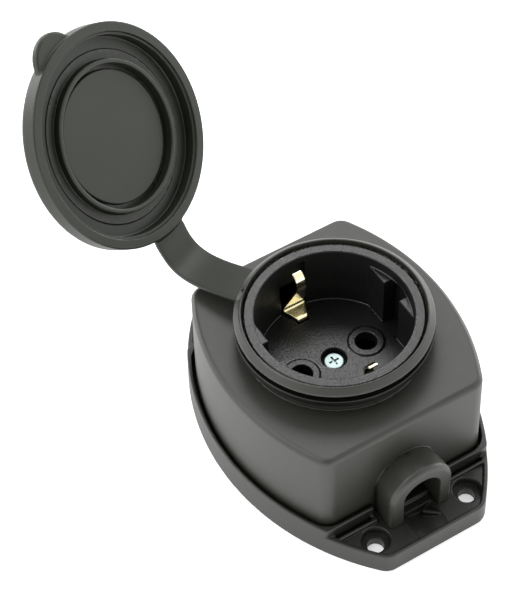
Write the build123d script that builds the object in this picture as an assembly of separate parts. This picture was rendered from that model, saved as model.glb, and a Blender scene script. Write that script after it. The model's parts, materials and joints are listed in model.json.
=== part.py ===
from build123d import *
import math
import os

# Outdoor weatherproof socket: a surface-mounted outlet for earthed two-pin side-clip plugs.
# Millimetres, +Z towards the plug, -Y towards the cable arch, origin on the collar axis at the back.

# Plug interface
pin_spacing = 19.0
pin_hole_diameter = 5.4
pin_clearance = 0.25
mouth_diameter = 38.86
cup_depth = 17.76

# Hood: bowed sides and straight ends, drawn in slightly towards its roof
hood_half_width = 31.15
hood_half_length = 31.8
hood_side_radius = 61.8
hood_corner_radius = 4.5
hood_height = 29.6
hood_wall = 2.4
hood_roof = 2.6
hood_roof_edge = 1.5
hood_draft = 0.7

# Base tray and its two screw ears
ear_length = 12.7
base_flare = 2.25
base_corner_radius = 4.5
base_floor = 3.0
base_draft = 1.2
rim_height = 9.0
rim_wall = 1.05
rim_gap = 0.8
rim_corner_radius = 6.0
ear_height = 6.4
ear_border = 1.2
ear_recess = 1.1
drain_slot_width = 1.0
drain_slot_depth = 2.4
drain_slot_inset = 1.6
ear_ridge = 0.9
gasket_thickness = 1.5
gasket_overlap = 0.4

# Mounting holes in the ears
mount_spacing_x = 26.9
mount_inset = 6.85
mount_hole_diameter = 4.2
mount_head_diameter = 7.2
mount_head_depth = 2.5

# Cable arch, its channel in the ear and the blind grommet behind it
arch_inner_radius = 5.2
arch_wall = 3.0
arch_reach = 7.5
arch_flare = 5.0
arch_edge_radius = 1.5
arch_axis_height = 14.3
arch_clearance = 1.0
arch_foot_gap = 0.1
channel_depth = 2.5
channel_start = 5.3
cord_step_thickness = 0.9
cord_step_height = 0.9
cord_step_place = 2.8
cord_step_clearance = 0.3
cord_tooth_thickness = 1.0
cord_tooth_length = 5.6
cord_tooth_drop = 0.4
cord_tooth_x = 3.2
cord_tooth_place = 8.3
cord_tooth_turn = -42.0
grommet_hole_diameter = 8.0
grommet_clearance = 0.2
grommet_flange = 1.0
grommet_flange_thickness = 1.0
grommet_step = 0.6
grommet_rings = 2

# Collar on the roof
neck_height = 7.4
neck_wall = 1.4
flange_overhang = 1.75
flange_land = 0.3
flange_bevel_height = 1.6
flange_bevel_width = 1.55
lip_drop = 0.98
lip_width = 0.7
lip_thickness = 1.6
lip_clearance = 0.8
notch_width = 3.6
notch_depth = 0.7
notch_heading = 133.0

# Socket cup
cup_wall = 1.57
cup_clearance = 0.3
cup_floor_thickness = 2.8
cup_step_depth = 11.9
cup_step = 0.4
guide_flat = 16.6
guide_drop = 2.9
guide_recess_width = 6.4
guide_recess_depth = 0.8
pin_ring_width = 1.9
pin_ring_height = 0.4
screw_recess_diameter = 6.3
screw_recess_depth = 2.2
screw_boss_diameter = 9.0
screw_boss_height = 1.4

# Earth bracket: one strip with a sprung clip at each end
clip_thickness = 0.7
clip_floor_reach = 14.2
clip_foot_height = 0.45
clip_back = 19.4
clip_knee_height = 0.7
clip_bulge_reach = 15.2
clip_bulge_height = 11.3
clip_tip_radius = 3.3
clip_tip_turn = 95.0
clip_width = 2.6
clip_knee_width = 6.4
clip_bend_radius = 0.8
clip_slot_clearance = 0.4
clip_slot_reach = 16.5
clip_slot_height = 15.6
bracket_width = 7.0
earth_tab_width = 7.0
earth_tab_length = 9.0
earth_tab_place = 11.0

# Contact carrier and what it holds
carrier_length = 46.0
carrier_width = 34.0
carrier_corner_radius = 5.0
carrier_stand = 3.0
wiring_room = 5.8
sleeve_wall = 0.7
sleeve_slit = 1.0
sleeve_floor = 2.0
spring_wall = 0.6
spring_clearance = 0.1
spring_height = 2.8
spring_place = 0.6
pocket_clearance = 0.6
terminal_depth = 5.0
carrier_end = 0.9
arm_width = 6.0
arm_thickness = 1.0
arm_clearance = 0.3
clamp_size = 7.0
clamp_thickness = 1.0
clamp_clearance = 0.7
clamp_spring_gap = 1.625

# Screws and nut
screw_diameter = 3.1
screw_head_diameter = 5.6
screw_head_height = 2.2
screw_slot_width = 0.8
screw_slot_depth = 0.9
screw_hole_clearance = 0.35
thread_clearance = 0.05
terminal_screw_length = 5.5
terminal_screw_room = 0.6
post_diameter = 7.0
post_x = 14.5
post_y = 12.0
post_screw_bite = 4.4
post_hole_room = 0.4
centre_screw_diameter = 3.5
centre_head_diameter = 5.5
centre_head_height = 1.1
centre_head_round = 0.6
centre_screw_past_nut = 1.5
cross_recess_length = 2.8
cross_recess_width = 0.6
cross_recess_depth = 0.6
nut_size = 7.0
nut_thickness = 3.0
nut_cover = 2.0
nut_clearance = 0.1

# Lid, drawn closed over the collar and then swung open about its strap
lid_side_clearance = 0.3
lid_top_clearance = 0.34
lid_wall = 3.2
lid_thickness = 1.67
lid_top_radius = 1.5
lid_rim_bevel = 0.65
ridge_clearance = 0.33
ridge_width = 1.3
ridge_dip = 1.1
ridge_groove = 1.1
lid_step_width = 2.4
lid_step_height = 0.35
lid_pad_height = 0.6
lid_groove_depth = 0.5
tab_radius = 7.0
tab_reach = 4.15
tab_thickness = 2.2
tab_lift = 1.0
tab_heading = -78.0

# Tether: a ring round the neck and the strap that carries the lid
tether_lift = 3.9
tether_thickness = 1.85
tether_ring_width = 1.6
tether_clearance = 0.25
lid_rim_gap = 0.4
strap_width = 10.6
strap_thickness = 1.2
strap_flare = 0.4
strap_ring_heading = 119.8
strap_ring_pitch = -9.0
strap_ring_pull = 14.4
strap_lid_heading = 115.7
strap_lid_pull = 8.4
strap_lug_reach = 1.15
strap_lug_lift = 0.5
strap_spans = 6

# Lid hinge: the line that the strap bends about, and how far the lid stands open
hinge_reach = 38.65
hinge_lift = 1.6
hinge_heading = 113.0
hinge_tilt = -3.4
lid_open_angle = 122.9

# Small shared values
root_overlap = 0.5
least_corner = 0.5

# Heights of the stack, from the back of the base
hood_foot = base_floor + gasket_thickness
hood_top = hood_foot + hood_height
flange_bottom = hood_top + neck_height
collar_top = flange_bottom + flange_land + flange_bevel_height
lip_top = collar_top - lip_drop
lip_bottom = lip_top - lip_thickness
cup_floor = lip_top - cup_depth
cup_bottom = cup_floor - cup_floor_thickness
ear_floor = ear_height - ear_recess
carrier_bottom = base_floor + carrier_stand
carrier_top = cup_bottom - wiring_room
sleeve_bottom = carrier_bottom + sleeve_floor
arm_bottom = carrier_top - terminal_depth
arm_top = arm_bottom + arm_thickness
bracket_top = carrier_top + clip_thickness
nut_top = carrier_top - nut_cover
screw_seat = cup_floor - screw_recess_depth
tether_bottom = hood_top + tether_lift
tether_top = tether_bottom + tether_thickness
lid_rim = tether_top + lid_rim_gap
lid_floor = collar_top + lid_top_clearance
lid_top = lid_floor + lid_thickness

# Radii and reaches that follow from the fits
mouth_radius = mouth_diameter / 2
cup_radius = mouth_radius + cup_wall
lip_radius = cup_radius + lip_width
bore_radius = cup_radius + cup_clearance
lip_bore_radius = lip_radius + lip_clearance
neck_radius = bore_radius + neck_wall
flange_radius = neck_radius + flange_overhang
pin_x = pin_spacing / 2
pin_hole_radius = pin_hole_diameter / 2
sleeve_bore = pin_hole_radius - pin_clearance / 2
sleeve_radius = sleeve_bore + sleeve_wall
spring_bore = sleeve_radius + spring_clearance
spring_radius = spring_bore + spring_wall
pocket_radius = spring_radius + pocket_clearance
clamp_inner = pin_x + spring_radius + clamp_spring_gap
clamp_outer = carrier_length / 2 - carrier_end
terminal_x = (clamp_inner + clamp_outer) / 2
screw_radius = screw_diameter / 2
screw_hole_radius = screw_radius + screw_hole_clearance
thread_radius = screw_radius + thread_clearance
centre_radius = centre_screw_diameter / 2
base_half_width = hood_half_width + rim_gap + rim_wall
base_side_radius = hood_side_radius + rim_gap + rim_wall + base_flare
rim_half_length = hood_half_length + rim_gap + rim_wall
base_half_length = rim_half_length + ear_length
mount_y = base_half_length - mount_inset
ridge_back = rim_half_length + drain_slot_width
ridge_front = ridge_back + ear_ridge
arch_radius = arch_inner_radius + arch_wall
arch_front_radius = arch_radius + (arch_reach + hood_wall) * math.tan(math.radians(arch_flare))
grommet_radius = grommet_hole_diameter / 2 - grommet_clearance
tether_bore = neck_radius + tether_clearance
tether_radius = tether_bore + tether_ring_width
lid_mouth = flange_radius + lid_side_clearance
lid_radius = lid_mouth + lid_wall
ridge_radius = mouth_radius - ridge_clearance

# Spans longer than the part, for cuts that run right through
beyond = 4 * base_half_length


def heading(angle):
    """Level unit vector at a plan angle in degrees from +X."""
    return Vector(math.cos(math.radians(angle)), math.sin(math.radians(angle)), 0)


def turned(*points):
    """Solid turned about Z from (radius, height) corners."""
    return revolve(Plane.XZ * make_face(Polyline(*points, close=True)), Axis.Z)


def block(low, high):
    """Box between two opposite corners."""
    size = [b - a for a, b in zip(low, high)]
    middle = [(a + b) / 2 for a, b in zip(low, high)]
    return Pos(*middle) * Box(*size)


def rod(radius, low, high, x=0.0, y=0.0):
    """Upright cylinder between two heights."""
    return Pos(x, y, (low + high) / 2) * Cylinder(radius, high - low)


def barrel_outline(half_width, half_length, side_radius, corner_radius):
    """Plan outline with two bowed sides, two straight ends and rounded corners."""
    end_half = math.sqrt(side_radius**2 - half_length**2) - (side_radius - half_width)
    sides = [
        ThreePointArc((s * end_half, -half_length), (s * half_width, 0), (s * end_half, half_length))
        for s in (1, -1)
    ]
    ends = [Line((-end_half, s * half_length), (end_half, s * half_length)) for s in (1, -1)]
    face = make_face(sides + ends)
    return fillet(face.vertices(), max(corner_radius, least_corner))


def hood_outline(grow=0.0):
    """Outline of the hood's foot, moved outwards by grow."""
    return barrel_outline(
        hood_half_width + grow, hood_half_length + grow, hood_side_radius + grow, hood_corner_radius + grow
    )


def base_outline(grow=0.0):
    """Outline of the base, moved outwards by grow."""
    return barrel_outline(
        base_half_width + grow, base_half_length + grow, base_side_radius + grow, base_corner_radius + grow
    )


def arch_outline(radius):
    """Half round on straight legs that run down past the ear, on the front plane."""
    legs = Pos(0, arch_axis_height / 2 - radius) * Rectangle(2 * radius, arch_axis_height + 2 * radius)
    return Pos(0, arch_axis_height) * Circle(radius) + legs


def corner_posts():
    """Plan places of the four posts under the carrier."""
    return [(sx * post_x, sy * post_y) for sx in (-1, 1) for sy in (-1, 1)]


def carrier_screw_places():
    """Plan places of the two carrier screws, on opposite corners."""
    return [(post_x, post_y), (-post_x, -post_y)]


def terminal_places():
    """Plan place and seat height of each terminal screw: left, right, earth."""
    return [
        (-terminal_x, 0.0, arm_top),
        (terminal_x, 0.0, arm_top),
        (earth_screw_x(), -earth_tab_place, bracket_top),
    ]


def earth_screw_x():
    """Distance of the earth terminal from the middle of the bracket."""
    return bracket_width / 2 + earth_tab_length - clamp_size / 2 - clamp_clearance


def make_base_plate():
    """Tray with a rim round the hood's foot, and two lower ears with screw holes."""
    body = extrude(base_outline(), rim_height, taper=base_draft)
    rim = barrel_outline(base_half_width + rim_wall, rim_half_length, base_side_radius, rim_corner_radius)
    body -= Pos(0, 0, ear_height) * extrude(Rectangle(beyond, beyond) - rim, rim_height)
    body -= Pos(0, 0, base_floor) * extrude(hood_outline(rim_gap), rim_height)
    ears = base_outline(-ear_border) - Rectangle(beyond, 2 * ridge_front)
    body -= Pos(0, 0, ear_floor) * extrude(ears, rim_height)
    body -= make_drain_slots()
    body -= make_arch_gap()
    body += make_cord_step()
    body += make_cord_tooth()
    for sx in (-1, 1):
        for sy in (-1, 1):
            x, y = sx * mount_spacing_x / 2, sy * mount_y
            body -= rod(mount_hole_diameter / 2, -root_overlap, rim_height, x, y)
            body -= rod(mount_head_diameter / 2, ear_floor - mount_head_depth, rim_height, x, y)
    for x, y in corner_posts():
        body += rod(post_diameter / 2, base_floor - root_overlap, carrier_bottom, x, y)
    for x, y in carrier_screw_places():
        body -= rod(thread_radius, carrier_bottom - post_screw_bite - post_hole_room, rim_height, x, y)
    return body


def make_drain_slots():
    """Grooves along the rim on each ear, parted in front by the cable arch."""
    outer = math.sqrt(base_side_radius**2 - ridge_back**2) - (base_side_radius - base_half_width)
    outer -= drain_slot_inset
    inner = arch_front_radius + arch_clearance + drain_slot_width
    y = rim_half_length + drain_slot_width / 2
    plan = Pos(0, y) * SlotOverall(2 * outer, drain_slot_width)
    for s in (-1, 1):
        plan += Pos(s * (inner + outer) / 2, -y) * SlotOverall(outer - inner, drain_slot_width)
    return Pos(0, 0, ear_height - drain_slot_depth) * extrude(plan, rim_height)


def make_arch_gap():
    """Room for the arch in the rim and ridge, and the round cable channel in the ear before it."""
    half = arch_front_radius + arch_clearance
    gap = block((-half, -ridge_front - root_overlap, ear_floor), (half, -hood_half_length, 2 * rim_height))
    start = -hood_half_length - channel_start
    length = base_half_length - ear_border - hood_half_length - channel_start - root_overlap
    axis_height = ear_floor - channel_depth + arch_inner_radius
    channel = Pos(0, start - length / 2, axis_height) * Rot(90, 0, 0) * Cylinder(arch_inner_radius, length)
    return gap + channel


def make_cord_step():
    """Low bar across the mouth of the channel, between the feet of the arch."""
    y = -hood_half_length - cord_step_place
    half_x = arch_inner_radius - cord_step_clearance
    half_y = cord_step_thickness / 2
    return block((-half_x, y - half_y, base_floor), (half_x, y + half_y, ear_floor + cord_step_height))


def make_cord_tooth():
    """Short rib set askew in the cable channel, which keeps the cable from slipping."""
    bottom = base_floor - root_overlap
    height = ear_floor - cord_tooth_drop - bottom
    rib = Box(cord_tooth_length, cord_tooth_thickness, height)
    place = Pos(cord_tooth_x, -hood_half_length - cord_tooth_place, bottom + height / 2)
    return place * Rot(0, 0, cord_tooth_turn) * rib


def make_base_gasket():
    """Flat seal that follows the hood's foot in the tray."""
    ring = hood_outline(gasket_overlap) - hood_outline(-hood_wall - gasket_overlap)
    return Pos(0, 0, base_floor) * extrude(ring, gasket_thickness)


def make_hood():
    """Hollow cover with the collar on its roof and the cable arch on its front wall."""
    hood = Pos(0, 0, hood_foot) * extrude(hood_outline(), hood_height, taper=hood_draft)
    hood = fillet(hood.edges().group_by(Axis.Z)[-1], hood_roof_edge)
    inside = extrude(hood_outline(-hood_wall), hood_height - hood_roof, taper=hood_draft)
    hood += make_arch()
    hood -= Pos(0, 0, hood_foot) * inside
    hood += make_collar()
    hood -= rod(bore_radius, hood_foot, collar_top + root_overlap)
    hood -= rod(lip_bore_radius, lip_bottom, collar_top + root_overlap)
    wall_hole = Cylinder(grommet_hole_diameter / 2, 4 * hood_wall)
    hood -= Pos(0, -hood_half_length, arch_axis_height) * Rot(90, 0, 0) * wall_hole
    return hood


def make_arch():
    """Arched cable hood: an upright half round, flared a little and rounded at its mouth."""
    root = Plane.XZ.offset(hood_half_length - hood_wall)
    outer = extrude(root * arch_outline(arch_radius), arch_reach + hood_wall, taper=-arch_flare)
    front = outer.faces().sort_by(Axis.Y)[0]
    outer = fillet(front.edges().sort_by(Axis.Z)[1:], arch_edge_radius)
    inner = extrude(Plane.XZ.offset(hood_half_length) * arch_outline(arch_inner_radius), 2 * arch_reach)
    below = ear_floor + arch_foot_gap
    return outer - inner - block((-beyond, -beyond, -beyond), (beyond, beyond, below))


def make_collar():
    """Neck with an overhanging flange, bevelled down to its outer edge and notched by the strap."""
    collar = turned(
        (bore_radius - root_overlap, hood_top - hood_roof),
        (neck_radius, hood_top - hood_roof),
        (neck_radius, flange_bottom),
        (flange_radius, flange_bottom),
        (flange_radius, flange_bottom + flange_land),
        (flange_radius - flange_bevel_width, collar_top),
        (bore_radius - root_overlap, collar_top),
    )
    notch = Pos(flange_radius, 0, collar_top) * Box(
        2 * notch_depth + flange_bevel_width, notch_width, 2 * flange_bevel_height
    )
    return collar - Rot(0, 0, notch_heading) * notch


def make_cable_grommet():
    """Blind stepped grommet, flanged on both faces of the front wall."""
    flange_radius_here = grommet_hole_diameter / 2 + grommet_flange - grommet_clearance
    inside = -hood_wall - 2 * grommet_clearance
    points = [
        (0, inside - grommet_flange_thickness),
        (flange_radius_here, inside - grommet_flange_thickness),
        (flange_radius_here, inside),
        (grommet_radius, inside),
        (grommet_radius, 0),
        (flange_radius_here, 0),
        (flange_radius_here, grommet_flange_thickness),
    ]
    for ring in range(grommet_rings):
        radius = flange_radius_here * (grommet_rings - ring) / (grommet_rings + 1)
        level = grommet_flange_thickness + ring * grommet_step
        points += [(radius, level), (radius, level + grommet_step)]
    points.append((0, grommet_flange_thickness + grommet_rings * grommet_step))
    return Pos(0, -hood_half_length, arch_axis_height) * Rot(90, 0, 0) * turned(*points)


def make_socket_cup():
    """Plug recess: lipped cup with plug guides, earth slots, pin holes and the screw recess."""
    step_level = lip_top - cup_step_depth
    cup = turned(
        (0, cup_bottom),
        (cup_radius, cup_bottom),
        (cup_radius, lip_bottom),
        (lip_radius, lip_bottom),
        (lip_radius, lip_top),
        (mouth_radius, lip_top),
        (mouth_radius, step_level),
        (mouth_radius - cup_step, step_level),
        (mouth_radius - cup_step, cup_floor),
        (0, cup_floor),
    )
    cup += make_plug_guides()
    for s in (-1, 1):
        recess_wall = mouth_radius + guide_recess_depth
        cup -= block(
            (min(0, s * recess_wall), -guide_recess_width / 2, cup_floor),
            (max(0, s * recess_wall), guide_recess_width / 2, lip_top - guide_drop),
        )
    cup -= make_clip_slots()
    for s in (-1, 1):
        ring_radius = pin_hole_radius + pin_ring_width
        cup += rod(ring_radius, cup_floor - root_overlap, cup_floor + pin_ring_height, s * pin_x)
        cup -= rod(pin_hole_radius, cup_bottom - root_overlap, lip_top, s * pin_x)
    cup += rod(screw_boss_diameter / 2, cup_bottom - screw_boss_height, cup_floor)
    cup -= rod(screw_recess_diameter / 2, screw_seat, lip_top)
    cup -= rod(centre_radius + screw_hole_clearance, bracket_top, lip_top)
    return cup


def make_plug_guides():
    """Flat guide on each side of the recess, left as two ribs by the groove between them."""
    top = lip_top - guide_drop
    round_wall = rod(mouth_radius + root_overlap, cup_floor - root_overlap, top)
    middle = block((-guide_flat, -cup_radius, cup_bottom), (guide_flat, cup_radius, lip_top))
    return round_wall - middle


def make_clip_slots():
    """Slots for the earth clips: tall ones in the wall and short ones in the floor."""
    half = clip_knee_width / 2 + clip_slot_clearance
    foot_half = clip_width / 2 + clip_slot_clearance
    top = cup_floor + clip_slot_height
    slots = []
    for s in (-1, 1):
        ends = sorted((s * clip_slot_reach, s * (cup_radius + root_overlap)))
        slots.append(block((-half, ends[0], cup_floor), (half, ends[1], top)))
        ends = sorted((
            s * (clip_floor_reach - clip_slot_clearance),
            s * (clip_floor_reach + clip_thickness + clip_slot_clearance),
        ))
        below = cup_bottom - root_overlap
        slots.append(block((-foot_half, ends[0], below), (foot_half, ends[1], cup_floor)))
    return slots


def make_earth_bracket():
    """Bent strip: flat on the carrier, each end comes up as a sprung clip with a curled tip."""
    path = [
        (0, carrier_top + clip_thickness / 2),
        (clip_floor_reach + clip_thickness / 2, carrier_top + clip_thickness / 2),
        (clip_floor_reach + clip_thickness / 2, cup_floor + clip_foot_height),
        (clip_back, cup_floor + clip_knee_height),
        (clip_bulge_reach, cup_floor + clip_bulge_height),
    ]
    line = FilletPolyline(*path, radius=clip_bend_radius)
    tip = JernArc(line @ 1, line % 1, clip_tip_radius, -clip_tip_turn)
    strip = trace(line + tip, clip_thickness)
    side = Plane(origin=(-bracket_width, 0, 0), x_dir=(0, 1, 0), z_dir=(1, 0, 0))
    half = extrude(side * strip, 2 * bracket_width) & make_clip_front() & make_clip_plan()
    bracket = half + mirror(half, Plane.XZ)
    tab_end = bracket_width / 2 + earth_tab_length
    tab_half = earth_tab_width / 2
    bracket += block(
        (0, -earth_tab_place - tab_half, carrier_top),
        (tab_end, -earth_tab_place + tab_half, bracket_top),
    )
    bracket -= rod(centre_radius + screw_hole_clearance, carrier_bottom, cup_bottom)
    bracket -= rod(thread_radius, carrier_bottom, cup_bottom, earth_screw_x(), -earth_tab_place)
    return bracket


def make_clip_front():
    """Front outline of one clip: wide below the cup and at the knee, narrow at the stem and tip."""
    wide, narrow, knee = bracket_width / 2, clip_width / 2, clip_knee_width / 2
    right = [
        (wide, carrier_top - root_overlap),
        (wide, bracket_top),
        (narrow, bracket_top + wide - narrow),
        (narrow, cup_floor),
        (knee, cup_floor),
        (knee, cup_floor + clip_knee_height + clip_thickness),
        (narrow, cup_floor + clip_bulge_height),
        (narrow, lip_top),
    ]
    left = [(-x, z) for x, z in reversed(right)]
    return extrude(Plane.XZ * make_face(Polyline(*right, *left, close=True)), -beyond)


def make_clip_plan():
    """Plan outline of one clip: full width below the cup, and in it a foot that widens to the knee."""
    wide, narrow, knee = bracket_width / 2, clip_width / 2, clip_knee_width / 2
    right = [
        (narrow, 0),
        (narrow, clip_floor_reach),
        (knee, clip_back - clip_thickness),
        (knee, base_half_length),
    ]
    left = [(-x, y) for x, y in reversed(right)]
    foot = extrude(make_face(Polyline(*right, *left, close=True)), lip_top - cup_bottom)
    return Pos(0, 0, cup_bottom) * foot + block((-wide, 0, 0), (wide, base_half_length, cup_bottom))


def make_contact_carrier():
    """Moulded block with pockets for the sleeves, terminals and nut."""
    plan = RectangleRounded(carrier_length, carrier_width, carrier_corner_radius)
    carrier = Pos(0, 0, carrier_bottom) * extrude(plan, carrier_top - carrier_bottom)
    above = above_carrier()
    clamp_half = clamp_size / 2 + clamp_clearance
    for s in (-1, 1):
        carrier -= rod(pocket_radius, sleeve_bottom, above, s * pin_x)
        carrier -= rod(pin_hole_radius, carrier_bottom - root_overlap, above, s * pin_x)
        ends = sorted((s * pin_x, s * carrier_length))
        half = arm_width / 2 + arm_clearance
        carrier -= block((ends[0], -half, arm_bottom), (ends[1], half, above))
        ends = sorted((s * (clamp_inner - clamp_clearance), s * carrier_length))
        carrier -= block((ends[0], -clamp_half, arm_bottom), (ends[1], clamp_half, above))
    for x, y, seat in terminal_places():
        carrier -= rod(screw_hole_radius, seat - terminal_screw_length - terminal_screw_room, above, x, y)
    for x, y in carrier_screw_places():
        carrier -= rod(screw_hole_radius, carrier_bottom - root_overlap, above, x, y)
    nut_half = nut_size / 2 + nut_clearance
    carrier -= block((-nut_half, -nut_half, carrier_bottom - root_overlap), (nut_half, nut_half, nut_top))
    carrier -= rod(centre_radius + screw_hole_clearance, carrier_bottom, above)
    return carrier


def make_contact(side):
    """Slit sleeve that grips one pin, with the arm that carries its terminal."""
    sleeve = rod(sleeve_radius, sleeve_bottom, carrier_top)
    arm = block((sleeve_bore, -arm_width / 2, arm_bottom), (clamp_outer - pin_x, arm_width / 2, arm_top))
    arm -= rod(thread_radius, carrier_bottom, carrier_top, terminal_x - pin_x)
    contact = sleeve + arm - rod(sleeve_bore, carrier_bottom, above_carrier())
    contact -= block(
        (-pocket_radius, -sleeve_slit / 2, carrier_bottom), (0, sleeve_slit / 2, above_carrier())
    )
    return place_contact(contact, side)


def above_carrier():
    """Height just clear of the carrier's top."""
    return carrier_top + root_overlap


def place_contact(solid, side):
    """Turn a piece drawn about the right pin's axis to its own side of the socket."""
    turn = 0 if side > 0 else 180
    return Rot(0, 0, turn) * Pos(pin_x, 0, 0) * solid


def make_contact_spring(side):
    """Open steel ring that closes the sleeve on the pin."""
    low = arm_top + spring_place
    ring = rod(spring_radius, low, low + spring_height) - rod(spring_bore, low, low + spring_height)
    ring -= block((-pocket_radius, -sleeve_slit, low), (0, sleeve_slit, low + spring_height))
    return place_contact(ring, side)


def make_wire_clamp(place, length):
    """Flat clamp plate under a terminal screw."""
    x, y, seat = place
    half_x, half_y = length / 2, clamp_size / 2
    plate = block((x - half_x, y - half_y, seat), (x + half_x, y + half_y, seat + clamp_thickness))
    return plate - rod(screw_hole_radius, seat, seat + clamp_thickness, x, y)


def make_slotted_screw(x, y, seat, length):
    """Cheese-head screw with its head on the given seat."""
    head_top = seat + screw_head_height
    screw = rod(screw_head_diameter / 2, seat, head_top, x, y)
    screw += rod(screw_radius, seat - length, seat + root_overlap, x, y)
    slot = Box(2 * screw_head_diameter, screw_slot_width, 2 * screw_slot_depth)
    return screw - Pos(x, y, head_top) * slot


def make_terminal_screws():
    """The three terminal screws, each on its clamp plate."""
    return [
        make_slotted_screw(x, y, seat + clamp_thickness, clamp_thickness + terminal_screw_length)
        for x, y, seat in terminal_places()
    ]


def make_carrier_screws():
    """The two screws that hold the carrier on its posts."""
    length = carrier_top - carrier_bottom + post_screw_bite
    return [make_slotted_screw(x, y, carrier_top, length) for x, y in carrier_screw_places()]


def make_centre_screw():
    """Cross-head screw that draws the cup and hood down on the base."""
    head_top = screw_seat + centre_head_height
    end = nut_top - nut_thickness - centre_screw_past_nut
    screw = rod(centre_head_diameter / 2, screw_seat, head_top)
    screw = fillet(screw.edges().group_by(Axis.Z)[-1], centre_head_round)
    screw += rod(centre_radius, end, screw_seat + root_overlap)
    for turn in (0, 90):
        bar = Box(cross_recess_length, cross_recess_width, 2 * cross_recess_depth)
        screw -= Pos(0, 0, head_top) * Rot(0, 0, turn) * bar
    return screw


def make_centre_nut():
    """Square nut drawn up against the roof of its pocket in the carrier."""
    half = nut_size / 2
    nut = block((-half, -half, nut_top - nut_thickness), (half, half, nut_top))
    return nut - rod(centre_radius + thread_clearance, carrier_bottom, carrier_top)


def lid_swing():
    """Movement that takes the lid from closed to the open position it is kept in."""
    level = heading(hinge_heading - 90)
    tilt = math.radians(hinge_tilt)
    direction = level * math.cos(tilt) + Vector(0, 0, math.sin(tilt))
    foot = heading(hinge_heading) * hinge_reach + Vector(0, 0, hood_top + hinge_lift)
    turn = Location((0, 0, 0), direction, -lid_open_angle)
    return Pos(*foot) * turn * Pos(*(foot * -1))


def make_lid():
    """Cap with a skirt that drops over the flange, a sealing ridge and a pull tab, swung open."""
    pad = lid_floor - lid_pad_height
    step_level = lid_floor - lid_step_height
    groove = lid_floor + lid_groove_depth
    pad_radius = ridge_radius - ridge_width - ridge_groove
    lid = turned(
        (0, lid_top),
        (lid_radius, lid_top),
        (lid_radius, lid_rim),
        (lid_mouth + lid_rim_bevel, lid_rim),
        (lid_mouth + lid_rim_bevel, lid_rim + lid_rim_bevel),
        (lid_mouth, lid_rim + lid_rim_bevel),
        (lid_mouth, lid_floor),
        (ridge_radius + lid_step_width, lid_floor),
        (ridge_radius + lid_step_width, step_level),
        (ridge_radius, step_level),
        (ridge_radius, lip_top - ridge_dip),
        (ridge_radius - ridge_width, lip_top - ridge_dip),
        (ridge_radius - ridge_width, groove),
        (pad_radius, groove),
        (pad_radius, pad),
        (0, pad),
    )
    lid = fillet(lid.edges().group_by(Axis.Z)[-1], lid_top_radius)
    lid += make_pull_tab() + make_strap_lug()
    return lid_swing() * lid


def make_pull_tab():
    """Round finger tab on the skirt."""
    middle = heading(tab_heading) * (lid_radius + tab_reach - tab_radius)
    plan = Pos(middle.X, middle.Y) * Circle(tab_radius) - Circle(lid_mouth + lid_wall / 2)
    return Pos(0, 0, lid_rim + tab_lift) * extrude(plan, tab_thickness)


def lug_end():
    """Plane of the lug's flat end on the closed lid, facing the lid, with X across the strap."""
    out = heading(strap_lid_heading)
    middle = out * (lid_radius + strap_lug_reach)
    level = lid_rim + strap_lug_lift + strap_thickness / 2
    across = heading(strap_lid_heading + 90)
    return Plane(origin=(middle.X, middle.Y, level), x_dir=across, z_dir=(out * -1))


def make_strap_lug():
    """Short root of the strap on the skirt, ending in a flat face."""
    section = lug_end() * Rectangle(strap_width + strap_flare, strap_thickness)
    return extrude(section, strap_lug_reach + lid_wall / 2)


def strap_section(share, start, end):
    """Cross-section of the strap at a share of the way along its bend."""
    rest = 1 - share
    pitch = math.radians(strap_ring_pitch)
    away = start.z_dir * math.cos(pitch) + Vector(0, 0, math.sin(pitch))
    handles = [
        start.origin,
        start.origin + away * strap_ring_pull,
        end.origin - end.z_dir * strap_lid_pull,
        end.origin,
    ]
    weights = [rest**3, 3 * rest**2 * share, 3 * rest * share**2, share**3]
    place = sum((h * w for h, w in zip(handles, weights)), Vector(0, 0, 0))
    slopes = [rest**2, 2 * rest * share, share**2]
    runs = [b - a for a, b in zip(handles, handles[1:])]
    along = sum((r * w for r, w in zip(runs, slopes)), Vector(0, 0, 0)).normalized()
    across = start.x_dir * rest + end.x_dir * share
    across = (across - along * across.dot(along)).normalized()
    flare = strap_flare * (2 * share - 1) ** 4
    plane = Plane(origin=place, x_dir=across, z_dir=along)
    return plane * Rectangle(strap_width + flare, strap_thickness)


def make_lid_tether():
    """Ring in the groove under the flange, with the strap bent up to the open lid's lug."""
    ring = rod(tether_radius, tether_bottom, tether_top) - rod(tether_bore, tether_bottom, tether_top)
    out = heading(strap_ring_heading)
    root = out * (tether_bore + tether_clearance) + Vector(0, 0, tether_top - strap_thickness / 2)
    across = heading(strap_ring_heading + 90)
    start = Plane(origin=root, x_dir=across, z_dir=out)
    end = Plane(lid_swing() * lug_end().location)
    sections = [strap_section(i / strap_spans, start, end) for i in range(strap_spans + 1)]
    return ring + loft(sections)


def save(name, shape):
    """Write one piece, or a group of like pieces, to its own file."""
    solids = shape if isinstance(shape, list) else shape.solids()
    piece = solids[0] if len(solids) == 1 else Compound(children=list(solids))
    piece.label = name
    export_step(piece, os.path.join("parts", name + ".step"))


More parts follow.
